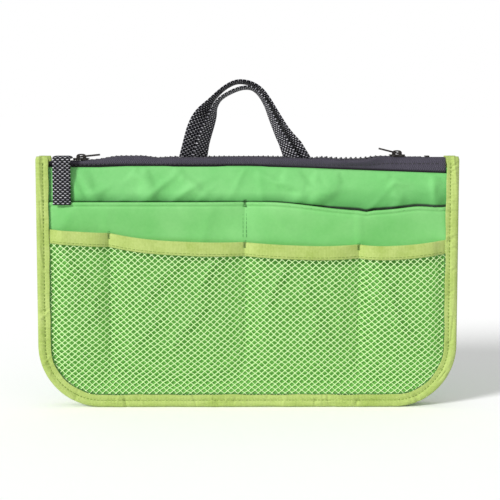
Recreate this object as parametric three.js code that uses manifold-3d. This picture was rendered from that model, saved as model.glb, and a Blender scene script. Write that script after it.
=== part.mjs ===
// Purse organizer insert: a slim zipped bag that stands inside a handbag.
// Millimetres. X runs across the width, the front faces -Y, Z is up and the floor is z = 0.
// Every layer is a thin sheet parallel to the XZ plane, at its own distance from the middle plane.
import * as THREE from "three";
import { mergeVertices } from "three/addons/utils/BufferGeometryUtils.js";
import Module from "manifold-3d";

const wasm = await Module();
wasm.setup();

// Body
const body_width = 300;
const body_height = 180;
const corner_radius = 45;
const compartment_depth = 10;
const shell_top = 172;
const sewn_gap = 0.15;
const running_gap = 0.3;

// Cloth and foam
const shell_thickness = 0.5;
const lining_thickness = 0.4;
const padding_thickness = 2;
const pocket_thickness = 0.4;
const net_thickness = 0.8;
const gusset_thickness = 0.5;

// Edge binding, a folded tape in a channel section
const binding_width = 9.3;
const binding_ply = 0.6;
const padding_slope = 10;
const padding_start_share = 0.1;

// Gusset
const gusset_top_gap = 1;
const gusset_turn = 0.6;
const side_fold = 7;
const bottom_sag = 5;

// Front slip pocket
const divider_x = -2;
const slip_hem = 148;
const slip_gape = 5.4;
const slip_gape_height = 18;
const slip_sag = 6;
const slip_sag_share = 0.597;

// Back slip pocket
const back_hem = 128;
const back_gape_height = 26;

// Mesh pocket: a net under a folded band
const left_divider_share = 0.7;
const right_divider_share = 0.5615;
const band_width = 10;
const band_ply = 0.5;
const band_top_at_left = 129;
const band_top_at_left_divider = 126.4;
const band_top_at_middle = 119.7;
const band_top_at_right_divider = 118;
const band_top_at_right = 121;
const band_droop = 3;
const net_gape = 5.4;
const net_rise = 46;
const net_tuck = 1;
const gap_width = 14.2;
const gap_height = 12.2;
const thread_width = 1.7;
const net_edge_margin = 2;

// Zipper
const tape_thickness = 0.5;
const tape_tuck = 6;
const tape_lower = 4.6;
const tape_upper = 2.2;
const right_rise = 2.5;
const rise_start = 5;
const rise_length = 40;
const tape_end_gap = 3.5;
const tooth_pitch = 3.5;
const tooth_root = 1.5;
const tooth_tip = 1.05;
const tooth_reach = 2.1;
const tooth_thickness = 1.3;
const spine_width = 0.8;
const chain_edge = 2.65;
const throat_edge = 5;
const flare_length = 20;
const throat_start = -1;
const open_lean = 8;
const right_open_lean = 42;
const rolled_lean = 62;
const right_lean = 66;
const upright_lean = 26;
const stop_length = 3;
const stop_height = 0.8;

// Sliders
const left_slider_inset = 31.7;
const right_slider_inset = 43.5;
const slider_length = 11;
const slider_nose_width = 12;
const slider_tail_width = 7.4;
const slider_plate = 0.8;
const slider_flange = 0.6;
const post_length = 1.6;
const post_width = 1.4;
const crown_length = 7;
const crown_width = 2.2;
const crown_wall = 1;
const pull_bar = 1.2;
const pull_length = 13.5;
const pull_width = 6.4;
const pull_wall = 1.5;
const left_pull_tilt = 6;
const right_pull_tilt = 14;

// Webbing
const webbing_width = 12.7;
const webbing_thickness = 1.3;
const sewn_end_bottom = 150;
const fold_height = 187.85;
const front_handle_centre = -2.6;
const front_handle_span = 58.6;
const front_handle_rise = 40.2;
const back_handle_centre = -2.95;
const back_handle_span = 74.9;
const back_handle_rise = 44.5;
const left_foot_lean = 14;
const right_foot_lean = 26;

// Zipper end tab
const tab_inset = 19.05;
const tab_bottom = 146;
const tab_reach = 13.2;
const tab_bend = 3.6;

// The layers, as distances from the middle plane to a layer's inner face
const lining_middle = compartment_depth / 2;
const padding_middle = lining_middle + lining_thickness + sewn_gap;
const shell_inner = padding_middle + padding_thickness + sewn_gap;
const shell_outer = shell_inner + shell_thickness;
const slip_inner = shell_outer + sewn_gap;
const slip_outer = slip_inner + pocket_thickness;
const net_inner = slip_outer + sewn_gap;
const net_outer = net_inner + net_thickness;
const tape_middle = shell_inner - sewn_gap - running_gap / 2 - tape_thickness / 2;
const lining_edge = tape_middle - tape_thickness / 2 - sewn_gap - lining_thickness;
const flange_middle = lining_edge - sewn_gap - gusset_thickness / 2;
const binding_inner = flange_middle - gusset_thickness / 2 - sewn_gap - binding_ply;

// Outline
const half_width = body_width / 2;
const corner_steps = 9;
const sweep_steps = 10;
const outline_inset = binding_ply + 2 * sewn_gap;
const binding_edge = half_width - binding_width;
const slip_sag_x = binding_edge * slip_sag_share;
const left_divider_x = -binding_edge * left_divider_share;
const right_divider_x = binding_edge * right_divider_share;
const left_slider_x = left_slider_inset - half_width;
const right_slider_x = half_width - right_slider_inset;
const tab_centre = tab_inset - half_width;
const front = -1;
const back = 1;

const nylon = { color: 0x84d67e, roughness: 0.55, metalness: 0 };
const lining_cloth = { color: 0x6cc167, roughness: 0.7, metalness: 0 };
const foam = { color: 0xf0f0ea, roughness: 0.95, metalness: 0 };
const lime_tape = { color: 0xb4cf6a, roughness: 0.8, metalness: 0 };
const net_thread = { color: 0xb9ee8b, roughness: 0.7, metalness: 0 };
const zipper_tape = { color: 0x57535f, roughness: 0.85, metalness: 0 };
const zipper_teeth = { color: 0x2b2930, roughness: 0.4, metalness: 0 };
const webbing = { color: 0x3a3840, roughness: 0.85, metalness: 0 };
const gunmetal = { color: 0x2a2826, roughness: 0.35, metalness: 0.9 };

const organizer = new THREE.Group();

// Turns a share from 0 to 1 into a soft step.
function soft(share) {
  const t = Math.min(Math.max(share, 0), 1);
  return t * t * (3 - 2 * t);
}

// Distance from the outline's edge, which is open at the top.
function edge_distance(x, z) {
  const across = Math.abs(x) - (half_width - corner_radius);
  const down = corner_radius - z;
  if (across > 0 && down > 0) {
    return corner_radius - Math.hypot(across, down);
  }
  return Math.min(half_width - Math.abs(x), z);
}

// Half the outline's width at a height, drawn in by an inset.
function half_width_at(z, inset) {
  const radius = corner_radius - inset;
  if (z >= corner_radius) {
    return half_width - inset;
  }
  const drop = Math.min(corner_radius - z, radius);
  return half_width - corner_radius + Math.sqrt(radius * radius - drop * drop);
}

// Heights of a grid's rows: round the corner by equal angles, then straight up to each given height.
function row_heights(inset, corner_rows, upper_rows) {
  const rows = [];
  for (let i = 0; i <= corner_rows; i += 1) {
    const angle = (Math.PI / 2) * (i / corner_rows);
    rows.push(corner_radius - (corner_radius - inset) * Math.cos(angle));
  }
  return rows.concat(upper_rows);
}

// Turns a mesh the right way out and drops what isn't position.
function closed(geometry) {
  geometry.deleteAttribute("normal");
  geometry.deleteAttribute("uv");
  const merged = mergeVertices(geometry, 1e-4);
  const at = merged.attributes.position;
  const index = merged.index.array;
  const [a, b, c] = [new THREE.Vector3(), new THREE.Vector3(), new THREE.Vector3()];
  let volume = 0;
  for (let i = 0; i < index.length; i += 3) {
    a.fromBufferAttribute(at, index[i]);
    b.fromBufferAttribute(at, index[i + 1]);
    c.fromBufferAttribute(at, index[i + 2]);
    volume += a.dot(b.cross(c));
  }
  if (volume < 0) {
    for (let i = 0; i < index.length; i += 3) {
      [index[i], index[i + 1]] = [index[i + 1], index[i]];
    }
  }
  return merged;
}

// A closed solid between two skins of like points: the faces cover each skin,
// and walls follow their open edges.
function between(near, far, faces) {
  const count = near.length;
  const edges = new Set();
  const triangles = [];
  for (const [a, b, c] of faces) {
    triangles.push(a, b, c, count + c, count + b, count + a);
    for (const [from, to] of [[a, b], [b, c], [c, a]]) {
      edges.add(from * count + to);
    }
  }
  for (const edge of edges) {
    const to = edge % count;
    const from = (edge - to) / count;
    if (!edges.has(to * count + from)) {
      triangles.push(to, from, count + from, to, count + from, count + to);
    }
  }
  const geometry = new THREE.BufferGeometry();
  geometry.setAttribute("position", new THREE.Float32BufferAttribute(near.concat(far).flat(), 3));
  geometry.setIndex(triangles);
  return closed(geometry);
}

// A closed solid through sections of like points, capped at both ends.
function loft(sections) {
  const count = sections[0].length;
  const triangles = [];
  for (let s = 0; s + 1 < sections.length; s += 1) {
    for (let i = 0; i < count; i += 1) {
      const a = s * count + i;
      const b = s * count + ((i + 1) % count);
      triangles.push(a, b, a + count, b, b + count, a + count);
    }
  }
  const last = (sections.length - 1) * count;
  for (const [a, b, c] of cap_faces(sections[0])) {
    triangles.push(c, b, a);
  }
  for (const [a, b, c] of cap_faces(sections[sections.length - 1])) {
    triangles.push(last + a, last + b, last + c);
  }
  const geometry = new THREE.BufferGeometry();
  geometry.setAttribute("position", new THREE.Float32BufferAttribute(sections.flat(2), 3));
  geometry.setIndex(triangles);
  return closed(geometry);
}

// Triangles of a flat section, worked out in the section's own plane.
function cap_faces(section) {
  const points = section.map((p) => new THREE.Vector3(...p));
  const normal = new THREE.Vector3();
  points.forEach((p, i) => normal.add(p.clone().cross(points[(i + 1) % points.length])));
  normal.normalize();
  const right = points[1].clone().sub(points[0]).normalize();
  const up = normal.clone().cross(right);
  const flat = points.map((p) => new THREE.Vector2(p.dot(right), p.dot(up)));
  return THREE.ShapeUtils.triangulateShape(flat, []);
}

// The outline of a ribbon along a path of [a, b] points, with mitred corners.
function ribbon_outline(path, thickness) {
  const half = thickness / 2;
  const points = path.map((p) => new THREE.Vector2(...p));
  const normals = points.map((p, i) => {
    const before = points[Math.max(i - 1, 0)];
    const after = points[Math.min(i + 1, points.length - 1)];
    const way_in = p.clone().sub(before).normalize();
    const way_out = after.clone().sub(p).normalize();
    const way = way_in.clone().add(way_out).normalize();
    const mitre = i === 0 ? 1 : way.dot(i === points.length - 1 ? way_in : way_out);
    return new THREE.Vector2(-way.y, way.x).multiplyScalar(half / mitre);
  });
  const left = points.map((p, i) => p.clone().add(normals[i]));
  const right = points.map((p, i) => p.clone().sub(normals[i]));
  return left.concat(right.reverse()).map((p) => [p.x, p.y]);
}

function to_manifold(geometry) {
  const solid = closed(geometry);
  const vertProperties = new Float32Array(solid.attributes.position.array);
  const triVerts = new Uint32Array(solid.index.array);
  return new wasm.Manifold(new wasm.Mesh({ numProp: 3, vertProperties, triVerts }));
}

function from_manifold(solid) {
  const mesh = solid.getMesh();
  const geometry = new THREE.BufferGeometry();
  geometry.setAttribute("position", new THREE.BufferAttribute(mesh.vertProperties, 3));
  geometry.setIndex(new THREE.BufferAttribute(mesh.triVerts, 1));
  return geometry;
}

function piece(name, geometry, finish, parent = organizer) {
  geometry.computeVertexNormals();
  const mesh = new THREE.Mesh(geometry, new THREE.MeshStandardMaterial(finish));
  mesh.name = name;
  parent.add(mesh);
  return mesh;
}

// The points of a panel's outline: down the left side, round both bottom corners and up the right side.
function panel_points(inset, top) {
  const centre = half_width - corner_radius;
  const points = [new THREE.Vector2(inset - half_width, top)];
  for (const side of [-1, 1]) {
    for (let i = 0; i <= corner_steps; i += 1) {
      const turn = ((side < 0 ? i : corner_steps - i) / corner_steps) * (Math.PI / 2);
      const x = side * (centre + (corner_radius - inset) * Math.cos(turn));
      points.push(new THREE.Vector2(x, corner_radius - (corner_radius - inset) * Math.sin(turn)));
    }
  }
  points.push(new THREE.Vector2(half_width - inset, top));
  return points;
}

// An extruded outline stood up in the XZ plane, from an inner distance outwards.
function standing_plate(shape, inner, thickness, side) {
  const geometry = new THREE.ExtrudeGeometry(shape, {
    depth: thickness,
    bevelEnabled: false,
  });
  geometry.rotateX(Math.PI / 2);
  geometry.translate(0, side > 0 ? inner + thickness : -inner, 0);
  return closed(geometry);
}

// A sheet on a grid whose two faces are distances from the middle plane.
function grid_sheet(side, rows, columns, inset, height, inner, thickness) {
  const near = [];
  const far = [];
  const wide = columns.length;
  for (const row of rows) {
    for (const share of columns) {
      const x = share * half_width_at(row, inset);
      const z = height(x, row);
      const level = inner(x, z);
      near.push([x, side * level, z]);
      far.push([x, side * (level + thickness(x, z)), z]);
    }
  }
  const faces = [];
  for (let r = 0; r + 1 < rows.length; r += 1) {
    for (let c = 0; c + 1 < wide; c += 1) {
      const a = r * wide + c;
      faces.push([a, a + 1, a + wide], [a + 1, a + wide + 1, a + wide]);
    }
  }
  return between(near, far, faces);
}

// A sheet of nested rings, each with its inset, its top and the distances of its two faces.
// The last ring is filled.
function ring_sheet(side, rings) {
  const near = [];
  const far = [];
  const faces = [];
  let count = 0;
  rings.forEach((ring, r) => {
    const points = panel_points(ring.inset, ring.top);
    count = points.length;
    near.push(...points.map((p) => [p.x, side * ring.near, p.y]));
    far.push(...points.map((p) => [p.x, side * ring.far, p.y]));
    for (let i = 0; r > 0 && i < count; i += 1) {
      const a = (r - 1) * count + i;
      const b = (r - 1) * count + ((i + 1) % count);
      faces.push([a, b, a + count], [b, b + count, a + count]);
    }
    if (r === rings.length - 1) {
      const base = r * count;
      THREE.ShapeUtils.triangulateShape(points, []).forEach(([a, b, c]) => {
        faces.push([base + a, base + b, base + c]);
      });
    }
  });
  return between(near, far, faces);
}

// Shells, paddings and linings: the lining dips from the seams to the compartment's wall,
// and foam fills the dip.
const dip_start = binding_width + sewn_gap;
const dip_end = dip_start + padding_slope;
const dip_top = shell_top - tape_tuck - sewn_gap;

function wall(side, label) {
  const shell_shape = new THREE.Shape(panel_points(outline_inset, shell_top));
  const shell = standing_plate(shell_shape, shell_inner, shell_thickness, side);
  piece(`${label}_shell_panel`, shell, nylon);
  const foam_level = (share) => {
    const lining_level = lining_edge + (lining_middle - lining_edge) * share;
    return lining_level + lining_thickness + sewn_gap;
  };
  const foam_ring = (share) => ({
    inset: dip_start + padding_slope * share,
    top: dip_top - padding_slope * share,
    near: foam_level(share),
    far: shell_inner - sewn_gap,
  });
  piece(`${label}_padding`, ring_sheet(side, [foam_ring(padding_start_share), foam_ring(1)]), foam);
  const lining_ring = (inset, top, near) => ({ inset, top, near, far: near + lining_thickness });
  const lining = ring_sheet(side, [
    lining_ring(outline_inset, shell_top, lining_edge),
    lining_ring(dip_start, dip_top, lining_edge),
    lining_ring(dip_end, dip_top - padding_slope, lining_middle),
  ]);
  piece(`${label}_lining`, lining, lining_cloth);
}

wall(front, "front");
wall(back, "back");

// A pocket's gape across one bay: none at its seams, full over most of its width.
function bay_gape(x, from, to) {
  if (x <= from || x >= to) {
    return 0;
  }
  const t = (2 * (x - from)) / (to - from) - 1;
  return 1 - t ** 4;
}

// Slip pockets, flat below and gaping at the hem, which sags on the front's right half
function front_hem(x) {
  const reach = (binding_edge - divider_x) / 2;
  const share = (x - slip_sag_x) / reach;
  return x > divider_x ? slip_hem - slip_sag * soft(1 - Math.abs(share)) : slip_hem;
}

function slip_standoff(x, z) {
  const across = bay_gape(x, -binding_edge, divider_x) + bay_gape(x, divider_x, binding_edge);
  return slip_gape * across * soft(1 - (front_hem(x) - z) / slip_gape_height);
}

function back_standoff(x, z) {
  const across = bay_gape(x, -binding_edge, 0) + bay_gape(x, 0, binding_edge);
  return slip_gape * across * soft(1 - (back_hem - z) / back_gape_height);
}

const seam_share = divider_x / (half_width - outline_inset);
const bay_shares = [0.02, 0.05, 0.12, 0.25, 0.42, 0.58, 0.75, 0.88, 0.95, 0.98];
const gape_row_shares = [0, 0.35, 0.6, 0.85, 1];
const pocket_corner_rows = 6;

// Column shares that crowd at the seams of two bays, which meet at a middle seam.
function pocket_columns(middle) {
  const edge = binding_edge / (half_width - outline_inset);
  const columns = [-1, -edge];
  for (const share of bay_shares) {
    columns.push(-edge + (middle + edge) * share);
  }
  columns.push(middle);
  for (const share of bay_shares) {
    columns.push(middle + (edge - middle) * share);
  }
  return columns.concat([edge, 1]);
}

function pocket_rows(hem, gape_height) {
  const upper_rows = gape_row_shares.map((share) => hem - gape_height * (1 - share));
  return row_heights(outline_inset, pocket_corner_rows, upper_rows);
}

// The rows of the gape zone are lowered with the sagging hem.
function hem_height(x, row) {
  return row > corner_radius ? row - (slip_hem - front_hem(x)) : row;
}

const front_slip = grid_sheet(
  front, pocket_rows(slip_hem, slip_gape_height), pocket_columns(seam_share), outline_inset,
  hem_height, (x, z) => slip_inner + slip_standoff(x, z), () => pocket_thickness,
);
piece("front_slip_pocket", front_slip, nylon);

const back_slip = grid_sheet(
  back, pocket_rows(back_hem, back_gape_height), pocket_columns(0), outline_inset,
  (x, z) => z, (x, z) => slip_inner + back_standoff(x, z), () => pocket_thickness,
);
piece("back_slip_pocket", back_slip, nylon);

// Mesh pocket
const seams = [-binding_edge, left_divider_x, divider_x, right_divider_x, binding_edge];
const band_heights = [
  band_top_at_left,
  band_top_at_left_divider,
  band_top_at_middle,
  band_top_at_right_divider,
  band_top_at_right,
];

function bay_of(x) {
  const inner_seams = seams.slice(1, -1);
  return inner_seams.filter((seam) => x > seam).length;
}

function band_top(x) {
  const bay = bay_of(x);
  const share = (x - seams[bay]) / (seams[bay + 1] - seams[bay]);
  const straight = band_heights[bay] + (band_heights[bay + 1] - band_heights[bay]) * share;
  return straight - band_droop * 4 * share * (1 - share);
}

// Under the band the net stands off the slip pocket by the band's inner ply.
const band_lift = band_ply + sewn_gap;
const band_lift_slope = 12;

function net_level(x, z) {
  const bay = bay_of(x);
  const across = bay_gape(x, seams[bay], seams[bay + 1]);
  const below_band = band_top(x) - band_width - z;
  const beside = soft((edge_distance(x, z) - binding_width) / net_edge_margin);
  const lift = band_lift * beside * soft(1 - below_band / band_lift_slope);
  const rise = soft((z - binding_width) / net_rise);
  const inside = soft((edge_distance(x, z) - binding_width) / padding_slope);
  return net_inner + lift + net_gape * across * rise * inside;
}

function net_gaps() {
  const gaps = [];
  const rows = Math.ceil(band_top_at_left / (gap_height / 2));
  const columns = Math.ceil(half_width / (gap_width / 2));
  const half_gap = (gap_width - thread_width * Math.SQRT2) / 2;
  const half_rise = (gap_height - thread_width * Math.SQRT2) / 2;
  for (let r = 0; r <= rows; r += 1) {
    for (let c = -columns; c <= columns; c += 1) {
      const x = (c * gap_width) / 2;
      const z = binding_width + (r * gap_height) / 2;
      const room = edge_distance(x, z) - binding_width - half_gap;
      const under = band_top(x) - band_width - half_rise - z;
      if ((r + c) % 2 === 0 && room > 0 && under > 0) {
        gaps.push([[x - half_gap, z], [x, z + half_rise], [x + half_gap, z], [x, z - half_rise]]
          .map((p) => new THREE.Vector2(...p)));
      }
    }
  }
  return gaps;
}

// Where the band's sections stand, from left to right, crowded at the seams.
const band_end = binding_edge - net_edge_margin;
const band_step_shares = [0, 0.05, 0.12, 0.25, 0.42, 0.58, 0.75, 0.88, 0.95];

function band_places() {
  const places = [];
  for (let bay = 0; bay + 1 < seams.length; bay += 1) {
    for (const share of band_step_shares) {
      places.push(Math.max(seams[bay] + (seams[bay + 1] - seams[bay]) * share, -band_end));
    }
  }
  return places.concat([band_end]);
}

// The net: a plain margin under the binding and under the band, and gaps over the rest.
function mesh_pocket() {
  const held = panel_points(outline_inset, 0).slice(1, -1);
  const free = panel_points(dip_start, 0).slice(1, -1);
  const corner = (distance, side) => new THREE.Vector2(side * (half_width - distance), 0);
  const across = band_places().reverse().map((x) => new THREE.Vector2(x, 0));
  const lowest = [corner(outline_inset, 1), corner(dip_start, 1), ...across, corner(dip_start, -1),
    corner(outline_inset, -1)];
  const band_limit = (x) => Math.min(Math.max(x, -band_end), band_end);
  const foot = lowest.map((p) => new THREE.Vector2(p.x, band_top(band_limit(p.x)) - band_width));
  const head = lowest.map((p) => new THREE.Vector2(p.x, band_top(band_limit(p.x)) - net_tuck));
  const gaps = net_gaps();
  const loop = free.concat(foot.slice(1, -1));
  const points = [...loop, ...gaps.flat(), ...held, foot[0], foot[foot.length - 1], ...head];
  const faces = THREE.ShapeUtils.triangulateShape(loop, gaps);
  const number = new Map(points.map((p, i) => [p, i]));
  const strip = (inner, outer) => {
    for (let i = 0; i + 1 < inner.length; i += 1) {
      const [a, b] = [number.get(outer[i]), number.get(outer[i + 1])];
      const [c, d] = [number.get(inner[i]), number.get(inner[i + 1])];
      faces.push([a, b, c], [b, d, c]);
    }
  };
  strip([foot[foot.length - 2], ...free, foot[1]], [foot[foot.length - 1], ...held, foot[0]]);
  strip(foot, head);
  const near = points.map((p) => [p.x, front * net_level(p.x, p.y), p.y]);
  const far = points.map((p) => [p.x, front * (net_level(p.x, p.y) + net_thickness), p.y]);
  return between(near, far, faces);
}
piece("front_mesh_pocket", mesh_pocket(), net_thread);

// The band is a channel over the net's top edge, and its ends butt against the binding.
function band_section(x) {
  const top = band_top(x);
  const level = net_level(x, top);
  const inner = level - sewn_gap;
  const outer = level + net_thickness + sewn_gap;
  const bottom = top - band_width;
  const crease = top - band_ply;
  return [
    [inner - band_ply, bottom],
    [inner, bottom],
    [inner, crease],
    [outer, crease],
    [outer, bottom],
    [outer + band_ply, bottom],
    [outer + band_ply, top],
    [inner - band_ply, top],
  ].map(([level_at, z]) => [x, front * level_at, z]);
}

function band() {
  return loft(band_places().map(band_section));
}
piece("mesh_pocket_band", band(), lime_tape);

// Edge bindings and gusset follow the U of the outline
function outline_stations(top) {
  const centre = half_width - corner_radius;
  const stations = [{ x: -half_width, z: top, angle: 0, bottom: 0 }];
  for (const side of [-1, 1]) {
    for (let i = 0; i <= sweep_steps; i += 1) {
      const turn = ((side < 0 ? i : sweep_steps - i) / sweep_steps) * (Math.PI / 2);
      const x = side * (centre + corner_radius * Math.cos(turn));
      const z = corner_radius - corner_radius * Math.sin(turn);
      stations.push({ x, z, angle: side < 0 ? turn : Math.PI - turn, bottom: soft(turn / (Math.PI / 2)) });
    }
  }
  stations.push({ x: half_width, z: top, angle: Math.PI, bottom: 0 });
  return stations;
}

// Places a point that lies inwards from the outline at a station.
function inward(station, distance, y) {
  const x = station.x + distance * Math.cos(station.angle);
  const z = station.z + distance * Math.sin(station.angle);
  return [x, y, z];
}

function binding(side, outer_layer) {
  const outer = outer_layer + sewn_gap;
  const section = [
    [0, binding_inner],
    [binding_width, binding_inner],
    [binding_width, binding_inner + binding_ply],
    [binding_ply, binding_inner + binding_ply],
    [binding_ply, outer],
    [binding_width, outer],
    [binding_width, outer + binding_ply],
    [0, outer + binding_ply],
  ];
  return loft(outline_stations(body_height).map((station) =>
    section.map(([distance, level]) => inward(station, distance, side * level))));
}
piece("front_edge_binding", binding(front, net_outer), lime_tape);
piece("back_edge_binding", binding(back, slip_outer), lime_tape);

// The gusset's flanges lie in the bindings. Its middle folds in at the sides and sags at the bottom.
function gusset() {
  const turn_in = binding_width + gusset_turn;
  const waist = binding_inner - sewn_gap - gusset_thickness / 2;
  const stations = outline_stations(shell_top - gusset_top_gap);
  return loft(stations.map((station) => {
    const middle = turn_in + side_fold * (1 - station.bottom) - bottom_sag * station.bottom;
    const path = [
      [outline_inset, -flange_middle],
      [turn_in, -flange_middle],
      [turn_in, -waist],
      [middle, 0],
      [turn_in, waist],
      [turn_in, flange_middle],
      [outline_inset, flange_middle],
    ];
    return ribbon_outline(path, gusset_thickness).map(([distance, y]) => inward(station, distance, y));
  }));
}
piece("gusset", gusset(), nylon);

// Zipper: at each x the tape leans in by two angles, and the teeth follow the upper one
function radians(degrees) {
  return (degrees * Math.PI) / 180;
}

// The tape shows more of its width on the right, where the zipper rides higher.
function lower_width(x) {
  return tape_lower + right_rise * soft((x - rise_start) / rise_length);
}

function lower_lean_for(edge, width) {
  return Math.asin((tape_middle - tape_upper - edge) / width);
}

const nose_offset = slider_length / 2;
const front_feet = [-1, 1].map((way) => front_handle_centre + (way * front_handle_span) / 2);
const back_feet = [-1, 1].map((way) => back_handle_centre + (way * back_handle_span) / 2);
const left_feet = (front_feet[0] + back_feet[0]) / 2;
const right_feet = (front_feet[1] + back_feet[1]) / 2;

// The open mouth's teeth roll inwards, less so towards the right slider, and least beside the handles.
function roll_lean(x) {
  const beside = (feet) => soft((2 * webbing_width - Math.abs(x - feet)) / webbing_width);
  const towards_right = soft((x - right_feet) / webbing_width);
  const free = rolled_lean + (right_lean - rolled_lean) * towards_right;
  const upright = Math.max(beside(left_feet), beside(right_feet));
  return radians(free + (upright_lean - free) * upright);
}

// The open tapes lean outwards, and further where they are wider.
function free_lean(x) {
  const towards_right = soft((x - right_feet - webbing_width) / (2 * webbing_width));
  return radians(-open_lean - (right_open_lean - open_lean) * towards_right);
}

function tape_leans(x) {
  const past = Math.min(x - left_slider_x, right_slider_x - x);
  const throat = Math.min(Math.max((past - throat_start) / (nose_offset - throat_start), 0), 1);
  const edge = chain_edge + (throat_edge - chain_edge) * throat;
  const flare = soft((past - nose_offset) / flare_length);
  const closed_lean = lower_lean_for(edge, lower_width(x));
  const lower = closed_lean + (free_lean(x) - closed_lean) * flare;
  const upper = Math.PI / 2 + (roll_lean(x) - Math.PI / 2) * flare;
  return { lower, upper };
}

const tape_hinge = shell_top + running_gap;

// The tape's centre line at x, as [distance from the middle plane, height] points.
function tape_line(x) {
  const { lower, upper } = tape_leans(x);
  const start = [tape_middle, shell_top - tape_tuck];
  const hinge = [tape_middle, tape_hinge];
  const width = lower_width(x);
  const bend = [hinge[0] - width * Math.sin(lower), hinge[1] + width * Math.cos(lower)];
  const edge = [bend[0] - tape_upper * Math.sin(upper), bend[1] + tape_upper * Math.cos(upper)];
  return [start, hinge, bend, edge];
}

const tape_end = half_width - binding_width - tape_end_gap;
const flare_steps = 8;
const open_steps = 26;

// Stations along the zipper: close together near the sliders, wide apart elsewhere.
function tape_stations() {
  const places = [-tape_end, tape_end];
  const reach = nose_offset + flare_length;
  for (const [slider, way] of [[left_slider_x, 1], [right_slider_x, -1]]) {
    places.push(slider + way * throat_start);
    for (let i = 0; i <= flare_steps; i += 1) {
      places.push(slider + way * (nose_offset + (flare_length * i) / flare_steps));
    }
  }
  const open_from = left_slider_x + reach;
  const open_to = right_slider_x - reach;
  for (let i = 1; i < open_steps; i += 1) {
    places.push(open_from + ((open_to - open_from) * i) / open_steps);
  }
  return places.sort((a, b) => a - b);
}

function tape(side) {
  return loft(tape_stations().map((x) =>
    ribbon_outline(tape_line(x), tape_thickness).map(([level, z]) => [x, side * level, z])));
}
piece("front_zipper_tape", tape(front), zipper_tape);
piece("back_zipper_tape", tape(back), zipper_tape);

// A row of teeth on a spine along the tape's edge. The back row is half a pitch along, so the two mesh.
const chain_end = tape_end - 2 * stop_length;
const tooth_count = Math.floor((2 * chain_end) / tooth_pitch) - 1;

function teeth(side) {
  const top = [];
  const bottom = [];
  const faces = [];
  const spine_end = running_gap + spine_width;
  const tip = spine_end + tooth_reach;
  const shift = side > 0 ? tooth_pitch / 2 : 0;
  const count = tooth_count;
  function put(x, reach) {
    const edge = tape_line(x)[3];
    const { upper } = tape_leans(x);
    const along = [-Math.sin(upper), Math.cos(upper)];
    const across = [along[1], -along[0]];
    for (const [list, face] of [[top, 1], [bottom, -1]]) {
      const half = (face * tooth_thickness) / 2;
      const level = edge[0] + along[0] * reach + across[0] * half;
      list.push([x, side * level, edge[1] + along[1] * reach + across[1] * half]);
    }
  }
  for (let k = 0; k < count; k += 1) {
    const start = -chain_end + shift + k * tooth_pitch;
    const slope = (tooth_root - tooth_tip) / 2;
    put(start, running_gap);
    put(start, spine_end);
    put(start + slope, tip);
    put(start + slope + tooth_tip, tip);
    put(start + tooth_root, spine_end);
    const a = 5 * k;
    faces.push([a + 1, a + 2, a + 3], [a + 1, a + 3, a + 4]);
    faces.push([a, a + 1, a + 4], [a, a + 4, a + 6], [a, a + 6, a + 5]);
  }
  const end = -chain_end + shift + count * tooth_pitch;
  put(end, running_gap);
  put(end, spine_end);
  return between(top, bottom, faces);
}
piece("front_zipper_teeth", teeth(front), zipper_teeth);
piece("back_zipper_teeth", teeth(back), zipper_teeth);

// End stops clamp the two tapes past the last teeth
const chain_height = tape_line(-tape_end)[3][1];
const right_chain_height = tape_line(tape_end)[3][1];

function end_stop(x, height) {
  const tape_half = tape_thickness / 2 + running_gap;
  const outer = chain_edge + spine_width;
  const inner = chain_edge - running_gap;
  const shape = new THREE.Shape([
    [-outer, tape_half], [-inner, tape_half], [-inner, -tape_half], [-outer, -tape_half],
    [-outer, -tape_half - stop_height], [outer, -tape_half - stop_height], [outer, -tape_half],
    [inner, -tape_half], [inner, tape_half], [outer, tape_half],
    [outer, tape_half + stop_height], [-outer, tape_half + stop_height],
  ].map((p) => new THREE.Vector2(...p)));
  const geometry = new THREE.ExtrudeGeometry(shape, { depth: stop_length, bevelEnabled: false });
  geometry.rotateX(Math.PI / 2);
  geometry.rotateZ(Math.PI / 2);
  geometry.translate(x - stop_length / 2, 0, height);
  return closed(geometry);
}
const stop_offset = running_gap + stop_length / 2;
const right_chain_end = -chain_end + (tooth_count + 1 / 2) * tooth_pitch;
piece("left_end_stop", end_stop(-chain_end - stop_offset, chain_height), gunmetal);
piece("right_end_stop", end_stop(right_chain_end + stop_offset, right_chain_height), gunmetal);

// Sliders: two plates joined by a post between the open rows, flanges at the sides and a crown on top.
// Each is drawn with its nose towards +X. The right one is turned round.
const throat_height = tape_hinge + tape_lower * Math.cos(lower_lean_for(throat_edge, tape_lower));
const cavity_bottom = chain_height - tooth_thickness / 2 - running_gap;
const cavity_top = throat_height + tooth_thickness / 2 + running_gap;
const slider_height = 2 * (cavity_top - cavity_bottom);

function slider_outline(margin) {
  const nose = slider_nose_width / 2 - margin;
  const tail = slider_tail_width / 2 - margin;
  const end = slider_length / 2 - margin;
  const shape = new THREE.Shape();
  shape.moveTo(-end, -tail);
  shape.quadraticCurveTo(0, -tail, end / 3, -nose);
  shape.quadraticCurveTo(end, -nose, end, -nose / 2);
  shape.lineTo(end, nose / 2);
  shape.quadraticCurveTo(end, nose, end / 3, nose);
  shape.quadraticCurveTo(0, tail, -end, tail);
  return shape;
}

function slab_at(shape, bottom, height, steps = 5) {
  const geometry = new THREE.ExtrudeGeometry(shape, {
    depth: height,
    bevelEnabled: false,
    curveSegments: steps,
  });
  geometry.translate(0, 0, bottom);
  return to_manifold(geometry);
}

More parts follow.
